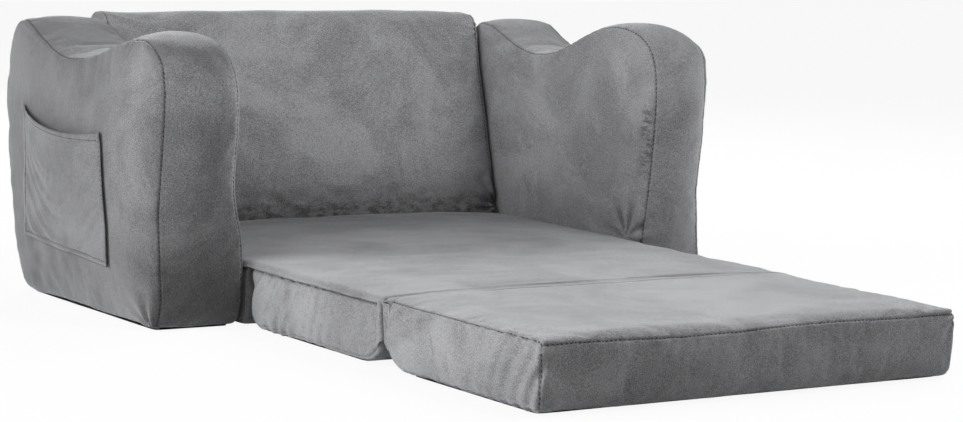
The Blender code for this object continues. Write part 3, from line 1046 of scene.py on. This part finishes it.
def makeBack(values, seed):
    front = backFront + values["frontGap"] + values["inset"] / 2
    rear = backFront + sofa["backThickness"] - values["crown"] - values["inset"]
    foot, top = sofa["clothFoot"], sofa["backHeight"] - values["crown"] - values["inset"]
    loop = evenLoop(roundedLoop([
        (front, foot, values["footRadius"]),
        (rear, foot, values["footRadius"]),
        (rear + values["rearLean"], top, values["topRadius"]),
        (front + values["frontLean"], top, values["topRadius"]),
        (front, sofa["slabHeight"], values["bendRadius"]),
    ]), 0.006)
    normals = outwards(loop)
    lift = np.clip((loop[:, 1] - sofa["slabHeight"]) / (top - sofa["slabHeight"]), 0, 1)
    swell = (1 - (2 * lift - 1) ** 4) * normals[:, 0] ** 2 + np.clip(normals[:, 1], 0, 1) ** 2

    half = halfInner - values["sideGap"]
    edge = np.full(len(loop), values["sideEdge"])
    topOnly = np.clip(normals[:, 1], 0, 1) ** 2

    def crown(share):
        raised = values["topCrown"] * topOnly * (share + 0.4) * (1 - share ** 6)
        return values["crown"] * swell * (1 - share ** 4) + raised

    rows = blockRows(loop, half, edge, crown)
    sides = (lambda place: -half, lambda place: half)
    piece, rings = sewnShell("back_rest_pad", loop, rows, sides, (0.0, 0.0))
    curves = [closed(rings[4]), closed(rings[-5])]

    def held(coords):
        return resting(coords) | (np.abs(coords[:, 0]) > halfInner - values["sideHold"])

    low = (-values["side"], backFront + values["frontClear"], lowest)
    high = (values["side"], 1, values["highest"])
    nodes = ("back_rest_cover", "back_rest_foam")
    curves = finishPad(piece, values, curves, held, low, high, "sofa", nodes, seed)
    shown = [c[c[:, 2] > sofa["slabHeight"] + values["stitchFoot"]] for c in curves]
    stitchPiece("back_rest_stitches", piece, shown, stitchValues, "sofa")


makeBack(backValues, 21)

slabValues = {
    **padValues,
    "foldRadius": 0.042,
    "hingeRadius": 0.016,
    "shoulder": 0.010,
    "foldShoulder": 0.004,
    "frontShoulder": 0.007,
    "foldedTop": 0.0862,
    "foldedEase": 0.0010,
    "freeRadius": 0.012,
    "sideEdge": 0.005,
    "sideHold": 0.003,
    "sideBulge": 0.002,
    "rearRoom": 0.0007,
    "crown": 0.005,
    "inset": 0.0015,
    "slack": 0.012,
    "cap": 0.0035,
    "seamDepth": 0.0012,
    "pucker": 0.0015,
    "puckerPitch": 0.008,
    "puckerReach": 0.016,
    "paintedCreaseShade": 0.6,
    "uneven": 0.0013,
    "fill": 0.8,
}

panelValues = {
    "columns": 150,
    "rows": 200,
    "thickness": 0.0012,
    "half": 0.2950,
    "rearHalf": 0.2990,
    "crown": 0.005,
    "edgeRadius": 0.006,
    "frontRadius": 0.003,
    "drop": 0.001,
    "foldStart": 0.022,
    "nearShade": -0.52,
    "farShade": 0.50,
    "uneven": 0.0018,
    "lowest": -0.0022,
    "highest": 0.0008,
    "padGap": 0.0028,
    "padHalf": 0.2985,
    "rearGap": 0.0012,
    "frontGap": 0.0011,
    "widerBehind": 0.010,
    "widerOver": 0.004,
    "unevenSize": 0.035,
    "fine": 0.0005,
    "fineSize": 0.014,
    "foldPucker": 0.0016,
    "foldPitch": 0.012,
    "foldWidth": 0.020,
    "streaks": 0.10,
    "streakSize": 0.03,
    "shadeReach": (0.03, 0.26),
    "turnedIn": 0.012,
}


def tuckUnderPanel(coords):
    # Keeps a section's cloth under the top panel, and inside its turned-down edge
    values = panelValues
    level = sofa["slabHeight"] - values["crown"] - values["thickness"]
    radius = values["edgeRadius"]
    flat = values["half"] - radius
    share = np.clip(np.abs(coords[:, 0]) / flat, 0, 1)
    past = np.clip(np.abs(coords[:, 0]) - flat, 0, radius)
    crown = values["crown"] * (1 - share ** 4)
    highest = level + crown - radius + np.sqrt(radius ** 2 - past ** 2) - values["padGap"]
    under = np.abs(coords[:, 0]) < values["half"]
    coords[:, 2] = np.minimum(coords[:, 2], np.where(under, highest, 1.0))
    edge = level - radius - values["drop"]
    tucked = fade(coords[:, 2], edge - 0.006, edge - 0.0008)
    wide, narrow = values["padHalf"], values["half"] - 0.0014
    limit = wide + (narrow - wide) * tucked
    coords[:, 0] = np.clip(coords[:, 0], -limit, limit)
    return coords


def lowerCrown(coords):
    # Eases the end section's top down, so that it folds flat onto the top panel
    top, ease = slabValues["foldedTop"], slabValues["foldedEase"]
    coords[:, 2] = top - ease * np.log1p(np.exp((top - coords[:, 2]) / ease))
    return coords


seamGap = 0.0016
# radii names those at the front foot, rear foot, rear top and front top
sectionTable = {
    "seat_base": {
        "body": "sofa",
        "front": sofa["foldOne"] + seamGap,
        "rear": backFront - 0.001,
        "radii": ("hingeRadius", "freeRadius", "shoulder", "shoulder"),
        "width": halfInner - seamGap,
        "side": 0.2998,
        "topEdge": 0.006,
        "sunk": 0.002,
        "bulge": 0.0,
        "frontRoom": 0.0012,
        "seed": 31,
    },
    "middle_section": {
        "body": "middle",
        "front": sofa["foldTwo"] + seamGap,
        "rear": sofa["foldOne"] - seamGap,
        "radii": ("foldRadius", "hingeRadius", "shoulder", "shoulder"),
        "width": 0.2945,
        "side": 0.300,
        "topEdge": 0.006,
        "sunk": 0.002,
        "bulge": 0.0,
        "frontRoom": 0.0012,
        "seed": 37,
    },
    "end_section": {
        "body": "end",
        "front": sofa["freeEnd"] + 0.002,
        "rear": sofa["foldTwo"] - seamGap,
        "radii": ("freeRadius", "foldRadius", "foldShoulder", "frontShoulder"),
        "width": 0.2945,
        "side": 0.300,
        "topEdge": 0.007,
        "sunk": -0.001,
        "bulge": 0.004,
        "frontRoom": 0.008,
        "seed": 43,
    },
}


frontSeamValues = {
    "half": 0.292,
    "ahead": 0.001,
    "below": 0.0055,
    "dip": 0.0025,
    "dipMiddle": -0.11,
    "dipWidth": 0.12,
    "waver": 0.0008,
    "waves": 21,
    "corner": 0.2935,
    "cornerFoot": 0.006,
}


def frontSeam(front, level, values):
    # The end section's front seam, which dips a little, and the seams at its two corners
    half, z = values["half"], level - values["below"]
    xs = np.linspace(-half, half, 90)
    dip = values["dip"] * hill(xs, values["dipMiddle"], values["dipWidth"])
    dip -= values["waver"] * np.sin(xs * values["waves"])
    y = np.full(len(xs), front - values["ahead"])
    curves = [np.column_stack([xs, y, z - dip * (1 - (xs / half) ** 8)])]
    for x in (-values["corner"], values["corner"]):
        curves.append(np.array([[x, front, h] for h in np.linspace(values["cornerFoot"], z, 14)]))
    return curves


def makeSection(name, section, values):
    foot, width, sunk = sofa["clothFoot"], section["width"], section["sunk"]
    front, rear, wedged = section["front"], section["rear"], name == "seat_base"
    top = sofa["slabHeight"] - values["crown"] - values["inset"] - sunk
    corners = ((front, foot), (rear, foot), (rear, top), (front, top))
    corners = [(*corner, values[radius]) for corner, radius in zip(corners, section["radii"])]
    loop = evenLoop(roundedLoop(corners), 0.006)
    normals = outwards(loop)
    up, ahead = np.clip(normals[:, 1], 0, 1), np.clip(-normals[:, 0], 0, 1)
    edge = values["sideEdge"] + (section["topEdge"] - values["sideEdge"]) * up ** 1.5

    def crown(share):
        return (values["crown"] * up ** 2 + section["bulge"] * ahead ** 2) * (1 - share ** 4)

    sides = (lambda place: -width, lambda place: width)
    rows = blockRows(loop, width, edge, crown)
    swell = values["sideBulge"]
    piece, rings = sewnShell(name + "_pad", loop, rows, sides, (-swell, swell))
    row = 2 if name == "end_section" else 0
    curves = [closed(rings[row]), closed(rings[-1 - row])]
    if name == "end_section":
        curves += frontSeam(front, sofa["slabHeight"] - values["crown"], frontSeamValues)

    def held(coords):
        return resting(coords) | (wedged & (np.abs(coords[:, 0]) > width - values["sideHold"]))

    top = sofa["slabHeight"] - max(sunk - 0.0005, 0)
    low = (-section["side"], front - section["frontRoom"], lowest)
    high = (section["side"], backFront if wedged else rear + values["rearRoom"], top)
    tuck = tuckUnderPanel if sunk > 0 else lowerCrown
    nodes, body, seed = (name + "_cover", name + "_foam"), section["body"], section["seed"]
    return piece, finishPad(piece, values, curves, held, low, high, body, nodes, seed, tuck)


sections = {name: makeSection(name, section, slabValues) for name, section in sectionTable.items()}
for name in ("middle_section", "end_section"):
    piece, curves = sections[name]
    shown = []
    for curve in curves[:2]:
        # The closed curve starts where it runs low, and only its upper part shows
        start = int(np.argmin(curve[:, 2] > 0.05))
        curve = np.roll(curve[:-1], -start, axis=0)
        shown.append(curve[curve[:, 2] > 0.055])
    shown += curves[2:]
    stitchPiece(name + "_stitches", piece, shown, stitchValues, sectionTable[name]["body"])


# ---- Top panel: one piece of velvet from the back rest to the second fold


def makeTopPanel(values, seed):
    rear, front = backFront - values["rearGap"], sofa["foldTwo"] + values["frontGap"]
    length = rear - front
    level = sofa["slabHeight"] - values["crown"] - values["thickness"]
    panel = newGrid("seat_top_panel", values["columns"], values["rows"])
    flat = coordsOf(panel)
    u, v = flat[:, 0] * 2, flat[:, 1] + 0.5
    radius = values["edgeRadius"]
    quarter = radius * math.pi / 2 + values["drop"]
    y = front + v * length
    # Width: between the arms behind the first fold, the section's own in front of it
    past = y - sofa["foldOne"] - values["widerBehind"]
    behind = 1 / (1 + np.exp(-past / values["widerOver"]))
    half = values["half"] + behind * (values["rearHalf"] - values["half"])
    run = half - radius + quarter
    s = np.abs(u) * run
    over = np.clip(s - (half - radius), 0, radius * math.pi / 2) / radius
    down = np.clip(s - (half - radius) - radius * math.pi / 2, 0, None)
    x = np.sign(u) * (np.minimum(s, half - radius) + radius * np.sin(over))
    z = level - radius * (1 - np.cos(over)) - down
    share = np.minimum(s, half - radius) / (half - radius)
    z = z + values["crown"] * (1 - share ** 4)
    # The front and rear ends turn down into the crease
    for edge, sign, turned in ((front, 1, values["frontRadius"]), (rear, -1, radius)):
        into = np.clip(turned - sign * (y - edge), 0, turned)
        z -= turned - np.sqrt(np.maximum(turned ** 2 - into ** 2, 0))
    coords = np.column_stack([x, y, z])
    long = np.column_stack([x * 0.35, y, np.zeros(len(y))])
    ripples = values["uneven"] * unevenness(long, values["unevenSize"], seed)
    ripples += values["fine"] * unevenness(long, values["fineSize"], seed + 3)
    nearFold = hill(y, sofa["foldOne"], values["foldWidth"]) * np.clip(share - 0.80, 0, 0.2) * 5
    puckers = noiseAlong(x + y * 0.3, values["foldPitch"], seed + 2)
    ripples += values["foldPucker"] * nearFold * puckers
    coords[:, 2] += np.clip(ripples, values["lowest"], values["highest"])
    setCoords(panel, coords)
    long[:, 0] = x * 0.25
    streaks = values["streaks"] * unevenness(long, values["streakSize"], seed + 5)
    # Painted shadow near the back rest, fading to painted light towards the front
    shade = fade(rear - y, *values["shadeReach"])
    shade = values["nearShade"] + (values["farShade"] - values["nearShade"]) * shade
    mark(panel, "pileAndPaintedLight", shade + streaks)
    solidify(panel, values["thickness"], 1.0)
    clothe(panel, "velvet")
    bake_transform(panel)
    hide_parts("front_fold_flap")
    print("seat_top_panel", len(panel.data.polygons), "faces")


makeTopPanel(panelValues, 51)


# ---- Pouches: a sheet sewn to the arm's side at its foot and sides, slack at its mouth

pouchValues = {
    "frontFoot": (0.179, 0.067),
    "frontTop": (0.209, 0.229),
    "rearTop": (0.427, 0.245),
    "rearFoot": (0.417, 0.078),
    "columns": 84,
    "rows": 60,
    "sag": 0.011,
    "mouth": 0.015,
    "gap": 0.0012,
    "thickness": 0.0016,
    "slack": 0.012,
    "bending": 0.4,
    "quality": 5,
    "cap": 0.004,
    "hem": 0.011,
    "hemRise": 0.0011,
    "flange": 0.005,
    "flare": 0.0036,
    "sewnDepth": 0.0007,
    "sewnWidth": 0.0014,
    "hemEdge": 0.002,
    "hemLine": 0.0012,
    "crumple": 0.0008,
    "crumpleSizes": (0.030, 0.013),
    "turnedIn": 0.004,
}


def pouchPlace(along, up, values):
    # Places on the arm's side, from shares of the pouch's length and height
    corners = (np.array(values[key]) for key in ("frontFoot", "rearFoot", "frontTop", "rearTop"))
    frontFoot, rearFoot, frontTop, rearTop = corners
    foot = frontFoot + along[:, None] * (rearFoot - frontFoot)
    top = frontTop + along[:, None] * (rearTop - frontTop)
    return foot + up[:, None] * (top - foot)


def makePouch(side, turn, pad, values, seed):
    pouch = newGrid(side + "_arm_pouch_cloth", values["columns"], values["rows"])
    tree = surfaceTree(pad)
    flat = coordsOf(pouch)
    u, v = flat[:, 0] + 0.5, flat[:, 1] + 0.5
    place = pouchPlace(u, v, values)
    arch = np.sin(np.pi * np.clip(u, 0, 1))
    place[:, 1] -= values["sag"] * arch * v ** 2

    def armSurface(y, z):
        hit = tree.ray_cast(Vector((turn * 0.5, y, z)), Vector((-turn, 0.0, 0.0)))
        return abs(hit[0].x) if hit[0] else outerArm

    surface = np.array([armSurface(y, z) for y, z in place])
    stand = values["gap"] + values["mouth"] * arch ** 0.6 * v ** 0.8
    coords = np.column_stack([turn * (surface + stand), place])
    setCoords(pouch, coords)
    simulate(pouch, (u < 0.001) | (u > 0.999) | (v < 0.001), values)
    coords = coordsOf(pouch)
    # Crumples near the mouth, a thick hem along it and a sewn line inside the other edges
    wide = values["crumple"] * arch * v ** 0.5
    broad, fine = values["crumpleSizes"]
    lumps = unevenness(coords, broad, seed) + 0.6 * unevenness(coords, fine, seed + 2)
    coords[:, 0] += turn * wide * lumps
    span = math.dist(values["rearTop"], values["frontTop"])
    rise = math.dist(values["frontTop"], values["frontFoot"])
    below = (1 - v) * rise
    hem = np.clip((values["hem"] - below) / values["hemEdge"], 0, 1)
    coords[:, 0] += turn * values["hemRise"] * hem
    inside = np.minimum(np.minimum(u, 1 - u) * span, v * rise)
    sewn = hill(inside, values["flange"], values["sewnWidth"])
    coords[:, 0] -= turn * values["sewnDepth"] * sewn
    flare = np.clip(1 - u * span / values["flange"], 0, 1) * (1 - v) ** 0.3
    coords[:, 0] += turn * values["flare"] * flare
    reach = np.array([armSurface(y, z) for y, z in coords[:, 1:]]) + values["gap"] * 0.7
    coords[:, 0] = turn * np.maximum(np.abs(coords[:, 0]), reach)
    setCoords(pouch, coords)
    # Painted shade along the sewn line and under the hem
    hemLine = hill(below, values["hem"], values["hemLine"])
    mark(pouch, "seam", np.maximum(0.5 * sewn, 0.4 * hemLine))
    away = Vector(pouch.data.polygons[len(pouch.data.polygons) // 2].normal)
    solidify(pouch, values["thickness"], 1.0 if away.x * turn > 0 else -1.0)
    facesOut(pouch)
    clothe(pouch, "velvet")
    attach(pouch, "sofa")
    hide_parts(side + "_arm_pouch")

    near, low, hem = values["flange"] / span, values["flange"] / rise, 1 - values["hem"] / rise
    route = [(near, b) for b in np.linspace(0.99, low, 40)]
    route += [(a, low) for a in np.linspace(near, 1 - near, 50)[1:-1]]
    route += [(1 - near, b) for b in np.linspace(low, 0.99, 40)]
    mouth = [(a, hem) for a in np.linspace(0.02, 0.98, 60)]
    outside = surfaceTree(pouch)
    curves = []
    for curve in (route, mouth):
        shares = np.array(curve)
        places = pouchPlace(shares[:, 0], shares[:, 1], values)
        places[:, 1] -= values["sag"] * np.sin(np.pi * shares[:, 0]) * shares[:, 1] ** 2
        rays = [Vector((turn * 0.45, y, z)) for y, z in places]
        hits = [outside.ray_cast(ray, Vector((-turn, 0.0, 0.0)))[0] for ray in rays]
        curves.append(np.array([hit for hit in hits if hit]))
    stitches = stitchPiece(side + "_pouch_stitches", pouch, curves, stitchValues, "sofa")
    print(pouch.name, len(pouch.data.polygons), "faces")


for side, turn, seed in (("left", -1, 61), ("right", 1, 67)):
    makePouch(side, turn, arms[side], pouchValues, seed)


# ---- Undersides: a woven lining stretched under each piece, sewn along its border

liningValues = {
    "spacing": 0.006,
    "corner": 0.012,
    "inset": 0.004,
    "level": 0.0009,
    "ripple": 0.0002,
    "rippleSize": 0.05,
    "hem": 0.003,
    "hemRise": 0.0004,
    "turnedIn": 0.010,
    "thickness": 0.0005,
    "border": 0.005,
}
liningStitches = {"pitch": 0.0052, "length": 0.0034, "girth": 0.00035, "sink": 0.0003, "stand": -0.0001}


def makeLining(name, body, values, seed):
    low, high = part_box(name + "_underside")
    half = np.array([high[0] - low[0], high[1] - low[1]]) / 2 - values["inset"]
    centre = np.array([high[0] + low[0], high[1] + low[1]]) / 2
    counts = [max(8, int(2 * h / values["spacing"])) for h in half]
    lining = newGrid(name + "_lining", *counts, 2.0)
    flat = coordsOf(lining)[:, :2] * half
    # Round corners: the corner squares are drawn onto quarter discs
    radius = values["corner"]
    past = np.maximum(np.abs(flat) - (half - radius), 0)
    both = (past > 0).all(axis=1)
    length = np.linalg.norm(past[both], axis=1)
    past[both] *= (past[both].max(axis=1) / np.maximum(length, 1e-9))[:, None]
    flat = np.sign(flat) * (np.minimum(np.abs(flat), half - radius) + past)
    ripples = unevenness(np.column_stack([flat, flat[:, 0]]), values["rippleSize"], seed)
    inside = (half - np.abs(flat)).min(axis=1)
    hem = values["hemRise"] * np.clip(1 - inside / values["hem"], 0, 1)
    level = values["level"] + values["ripple"] * ripples + hem
    setCoords(lining, np.column_stack([flat + centre, level]))
    solidify(lining, values["thickness"], 1.0)
    clothe(lining, "lining")
    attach(lining, body)
    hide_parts(name + "_underside")
    border = half - values["border"]
    corners = border * np.array([(-1, -1), (1, -1), (1, 1), (-1, 1)])
    route = evenLoop(corners, 0.004) + centre
    curve = closed(np.column_stack([route, np.full(len(route), -0.002)]))
    stitches = stitchPiece(name + "_lining_stitches", lining, [curve], liningStitches, body)


bodies = {"middle_section": "middle", "end_section": "end"}
linings = ("left_arm", "right_arm", "back_rest", "seat_base", "middle_section", "end_section")
for seed, name in enumerate(linings, start=71):
    makeLining(name, bodies.get(name, "sofa"), liningValues, seed)
print("undersides")


# ---- Zips: a woven tape with two rows of teeth, modelled once and placed three times

zipValues = {
    "halfWidth": 0.0068,
    "tapeFront": 0.0014,
    "tapeThickness": 0.0006,
    "toothPitch": 0.0022,
    "tooth": (0.0012, 0.0018, 0.0030),
    "toothAhead": 0.0009,
    "toothAside": 0.0007,
    "ridge": 0.0004,
    "columns": 140,
    "rows": 8,
}


def shapeTooth(values):
    deselectAll()
    bpy.ops.mesh.primitive_cube_add(size=1.0)
    tooth = bpy.context.active_object
    bpy.ops.object.mode_set(mode="EDIT")
    bpy.ops.mesh.select_all(action="SELECT")
    bpy.ops.transform.resize(value=values["tooth"])
    bpy.ops.mesh.bevel(offset=0.0003, segments=1)
    bpy.ops.object.mode_set(mode="OBJECT")
    coords = coordsOf(tooth)
    faces = [tuple(f.vertices) for f in tooth.data.polygons]
    bpy.data.objects.remove(tooth, do_unlink=True)
    return coords, faces


def makeZip(name, body, tooth, values):
    middle, tilt, ahead = zipPlace(name)
    place = Matrix.Translation(middle) @ Matrix.Rotation(-ahead * tilt, 4, "X")
    if ahead == 1:
        place = place @ Matrix.Rotation(math.pi, 4, "Z")
    half = zipFaces["length"] / 2 - 0.001
    tape = newGrid(name + "_zip_tape", values["columns"], values["rows"], 2.0)
    flat = coordsOf(tape)
    z = flat[:, 1] * values["halfWidth"]
    y = values["tapeFront"] - values["ridge"] * hill(z, 0, 0.0022)
    setCoords(tape, np.column_stack([flat[:, 0] * half, y, z]))
    tape.data.transform(place)
    solidify(tape, values["tapeThickness"], -1.0)
    facesOut(tape)
    clothe(tape, "tape")
    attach(tape, body)
    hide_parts(name + "_zip")
    coords, faces = tooth
    points, polygons = [], []
    count = int(2 * half / values["toothPitch"])
    for row, side in ((0, -1), (1, 1)):
        for i in range(count):
            x = -half + (i + 0.5 + 0.5 * row) * values["toothPitch"]
            start = len(points) * len(coords)
            y, z = values["tapeFront"] - values["toothAhead"], side * values["toothAside"]
            points.append(coords + np.array([x, y, z]))
            polygons.extend(tuple(k + start for k in face) for face in faces)
    mesh = bpy.data.meshes.new(name + "_zip_teeth")
    mesh.from_pydata(np.vstack(points).tolist(), [], polygons)
    teeth = bpy.data.objects.new(name + "_zip_teeth", mesh)
    bpy.context.scene.collection.objects.link(teeth)
    mesh.transform(place)
    mesh.materials.append(looks["teeth"])
    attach(teeth, body)
    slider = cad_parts[name + "_zip_slider"]
    for materialSlot in slider.material_slots:
        materialSlot.material = looks["metal"]


tooth = shapeTooth(zipValues)
for name in ("back_rest", "middle_section", "end_section"):
    makeZip(name, bodies.get(name, "sofa"), tooth, zipValues)
print("zips")


# ---- Cloth in the second fold: a tape under the crease and a pleat at each side

foldValues = {
    "half": 0.2938,
    "depth": 0.0010,
    "creaseWidth": 0.0022,
    "gap": 0.0030,
    "reach": 0.0120,
    "thickness": 0.0005,
    "shade": 0.55,
    "slitShade": 1.1,
    "underPanel": 0.0010,
    "clear": 0.0002,
    "onPad": 0.003,
    "tapeBend": 0.002,
    "turnedIn": 0.002,
    "pleatSide": 0.2958,
    "pleatDeep": 0.0105,
    "pleatSwell": 0.0028,
    "slant": 0.0045,
    "pleatTop": 0.0765,
    "archTop": 0.034,
    "archReach": 0.013,
    "archDrop": 0.012,
    "slitWidth": 0.0014,
    "slitDark": 0.0018,
    "swellMiddle": 0.0055,
    "swellWidth": 0.0032,
    "crease": 0.0009,
    "pleatBend": 0.008,
    "pleatTurnedIn": 0.01,
}


def stripMesh(name, rows):
    # A quad strip through rows of points
    bm = bmesh.new()
    made = [[bm.verts.new(p) for p in row] for row in rows]
    for one, two in zip(made, made[1:]):
        for i in range(len(one) - 1):
            bm.faces.new((one[i], one[i + 1], two[i + 1], two[i]))
    return fromMesh(name, bm)


def makeFoldTape(pad, values):
    # Lies in the crease, from under the top panel's front end onto the end section
    fold = sofa["foldTwo"]
    tree = surfaceTree(pad)

    def padTop(x, y):
        hit = tree.ray_cast(Vector((x, y, 0.2)), Vector((0, 0, -1)))[0]
        return hit.z if hit else 0.0

    level = sofa["slabHeight"] - panelValues["crown"]
    radius, flat = panelValues["edgeRadius"], panelValues["half"] - panelValues["edgeRadius"]
    rows = []
    for x in np.linspace(-values["half"], values["half"], 160):
        over = min(max(abs(x) - flat, 0), radius)
        crown = panelValues["crown"] * (1 - min(abs(x) / flat, 1) ** 4)
        behind = level + crown - radius + math.sqrt(radius ** 2 - over ** 2) - values["underPanel"]
        ahead = padTop(x, fold - values["reach"]) + values["clear"]
        row = []
        for share in np.linspace(0, 1, 17):
            y = values["gap"] - share * (values["gap"] + values["reach"])
            z = behind + (ahead - behind) * share
            if y < -values["onPad"]:
                z = max(z, padTop(x, fold + y) + values["clear"])
            row.append((x, fold + y, z - values["depth"] * hill(y, 0, values["creaseWidth"])))
        rows.append(row)
    tape = stripMesh("fold_two_tape", rows)
    solidify(tape, values["thickness"], 0.0)
    clothe(tape, "velvet")
    # Painted light over the whole tape, so that the crease stays pale
    mark(tape, "pileAndPaintedLight", np.full(len(tape.data.vertices), values["shade"]))
    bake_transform(tape)
    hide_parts("end_fold_tape")


def makePleat(side, turn, values):
    fold, reach = sofa["foldTwo"], values["archReach"]
    spans = ((-reach, -0.0035, 9), (-0.0030, 0.0030, 13), (0.0035, reach, 9))
    offsets = np.concatenate([np.linspace(*span) for span in spans])
    rows = []
    for share in np.linspace(0, 1, 26):
        row = []
        for y in offsets:
            near = abs(y) / reach
            low = values["archTop"] - values["archDrop"] * near ** 1.6
            z = low + share * (values["pleatTop"] - low)
            deep = values["pleatDeep"] * math.exp(-(abs(y) / values["slitWidth"]) ** 1.3)
            swell = hill(abs(y), values["swellMiddle"], values["swellWidth"])
            deep -= values["pleatSwell"] * swell * (0.35 + 0.65 * share)
            wander = Vector((y * 160 + share * 2.0, share * 3.0, turn * 2.0))
            crease = values["crease"] * noise.noise(wander)
            lean = values["slant"] * (share - 0.35) * (1 - near)
            row.append((turn * (values["pleatSide"] - deep + crease * (1 - near)), fold + y + lean, z))
        rows.append(row)
    pleat = stripMesh(side + "_fold_pleat", rows)
    # Painted light on the pleat, with painted shade in its slit
    shades = values["shade"] - values["slitShade"] * hill(offsets, 0, values["slitDark"])
    mark(pleat, "pileAndPaintedLight", np.tile(shades, len(rows)))
    solidify(pleat, values["thickness"], 0.0)
    clothe(pleat, "velvet")
    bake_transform(pleat)


makeFoldTape(sections["end_section"][0], foldValues)
for side, turn in (("left", -1), ("right", 1)):
    makePleat(side, turn, foldValues)
print("fold cloth")


# ---- Camera, light and floor

cameraValues = {
    "azimuth": -34.797,
    "elevation": 6.795,
    "roll": 2.3025,
    "focalPixels": 2732.3,
    "widthPixels": 963,
    "target": (-0.0467, -0.0509, 0.150),
    "distance": 3.333,
}


def makeCamera(values):
    a, e, r = (math.radians(values[k]) for k in ("azimuth", "elevation", "roll"))
    back = Vector((math.sin(a) * math.cos(e), -math.cos(a) * math.cos(e), math.sin(e)))
    right = (-back).cross(Vector((0, 0, 1))).normalized()
    up = right.cross(-back)
    across = right * math.cos(r) + up * math.sin(r)
    upward = -right * math.sin(r) + up * math.cos(r)
    data = bpy.data.cameras.new("camera")
    data.sensor_width = 36.0
    data.sensor_fit = "HORIZONTAL"
    data.lens = data.sensor_width * values["focalPixels"] / values["widthPixels"]
    camera = bpy.data.objects.new("camera", data)
    place = Vector(values["target"]) + back * values["distance"]
    turned = Matrix((across, upward, back)).transposed().to_4x4()
    camera.matrix_world = Matrix.Translation(place) @ turned
    bpy.context.scene.collection.objects.link(camera)
    bpy.context.scene.camera = camera
    data.clip_end = 100.0


lightValues = {
    "left": ((-3.4, 0.6, 1.2), 1.6, 82.0),
    "leftFront": ((-3.2, -0.8, 2.0), 2.0, 42.0),
    "right": ((2.6, 0.6, 2.2), 1.8, 49.0),
    "over": ((0.9, -1.2, 2.2), 0.9, 29.0),
    "behind": ((1.1, 3.0, 1.3), 1.0, 30.0),
}
stageValues = {"world": 0.14, "floorGlow": 0.92, "floorSize": 40.0, "floorLevel": -0.0002}


def makeLights(values):
    # Each light has its place, its size and its power, and points at the sofa
    for name, (place, size, power) in values.items():
        data = bpy.data.lights.new(name + " light", "AREA")
        data.size, data.energy = size, power
        lamp = bpy.data.objects.new(name + " light", data)
        lamp.location = place
        towards = Vector((0, 0, 0.15)) - lamp.location
        lamp.rotation_euler = towards.to_track_quat("-Z", "Y").to_euler()
        bpy.context.scene.collection.objects.link(lamp)


def seenDirectly(tree):
    # 1 where the camera, a mirror or glass looks at it, and 0 where it only gives light
    rays = tree.nodes.new("ShaderNodeLightPath").outputs
    first = maths(tree, "ADD", rays["Is Camera Ray"], rays["Is Glossy Ray"], clamp=True)
    return maths(tree, "ADD", first, rays["Is Transmission Ray"], clamp=True)


def makeWorld(values):
    world = bpy.data.worlds.new("studio")
    bpy.context.scene.world = world
    world.use_nodes = True
    tree = world.node_tree
    background = tree.nodes["Background"]
    background.inputs["Color"].default_value = (1.0, 1.0, 1.0, 1.0)
    strength = node(tree, "MapRange", Value=seenDirectly(tree), To_Min=values["world"], To_Max=1.0)
    feed(tree, background.inputs["Strength"], strength.outputs["Result"])


def makeFloor(values):
    deselectAll()
    bpy.ops.mesh.primitive_plane_add(size=values["floorSize"], location=(0, 0, values["floorLevel"]))
    floor = bpy.context.active_object
    floor.name = "studio_floor"
    material, tree, shader = newMaterial("pale floor", 0.9)
    shader.inputs["Base Color"].default_value = (0.80, 0.80, 0.80, 1.0)
    glow = node(tree, "Emission", Strength=1.0)
    made = tree.nodes.new("ShaderNodeMixShader")
    feed(tree, made.inputs["Fac"], maths(tree, "MULTIPLY", seenDirectly(tree), values["floorGlow"]))
    feed(tree, made.inputs[1], shader.outputs["BSDF"])
    feed(tree, made.inputs[2], glow.outputs["Emission"])
    feed(tree, tree.nodes["Material Output"].inputs["Surface"], made.outputs["Shader"])
    floor.data.materials.append(material)


makeCamera(cameraValues)
makeLights(lightValues)
makeWorld(stageValues)
makeFloor(stageValues)
bpy.context.scene.view_settings.view_transform = "Standard"
print("camera, lights and floor")

bpy.context.view_layer.update()
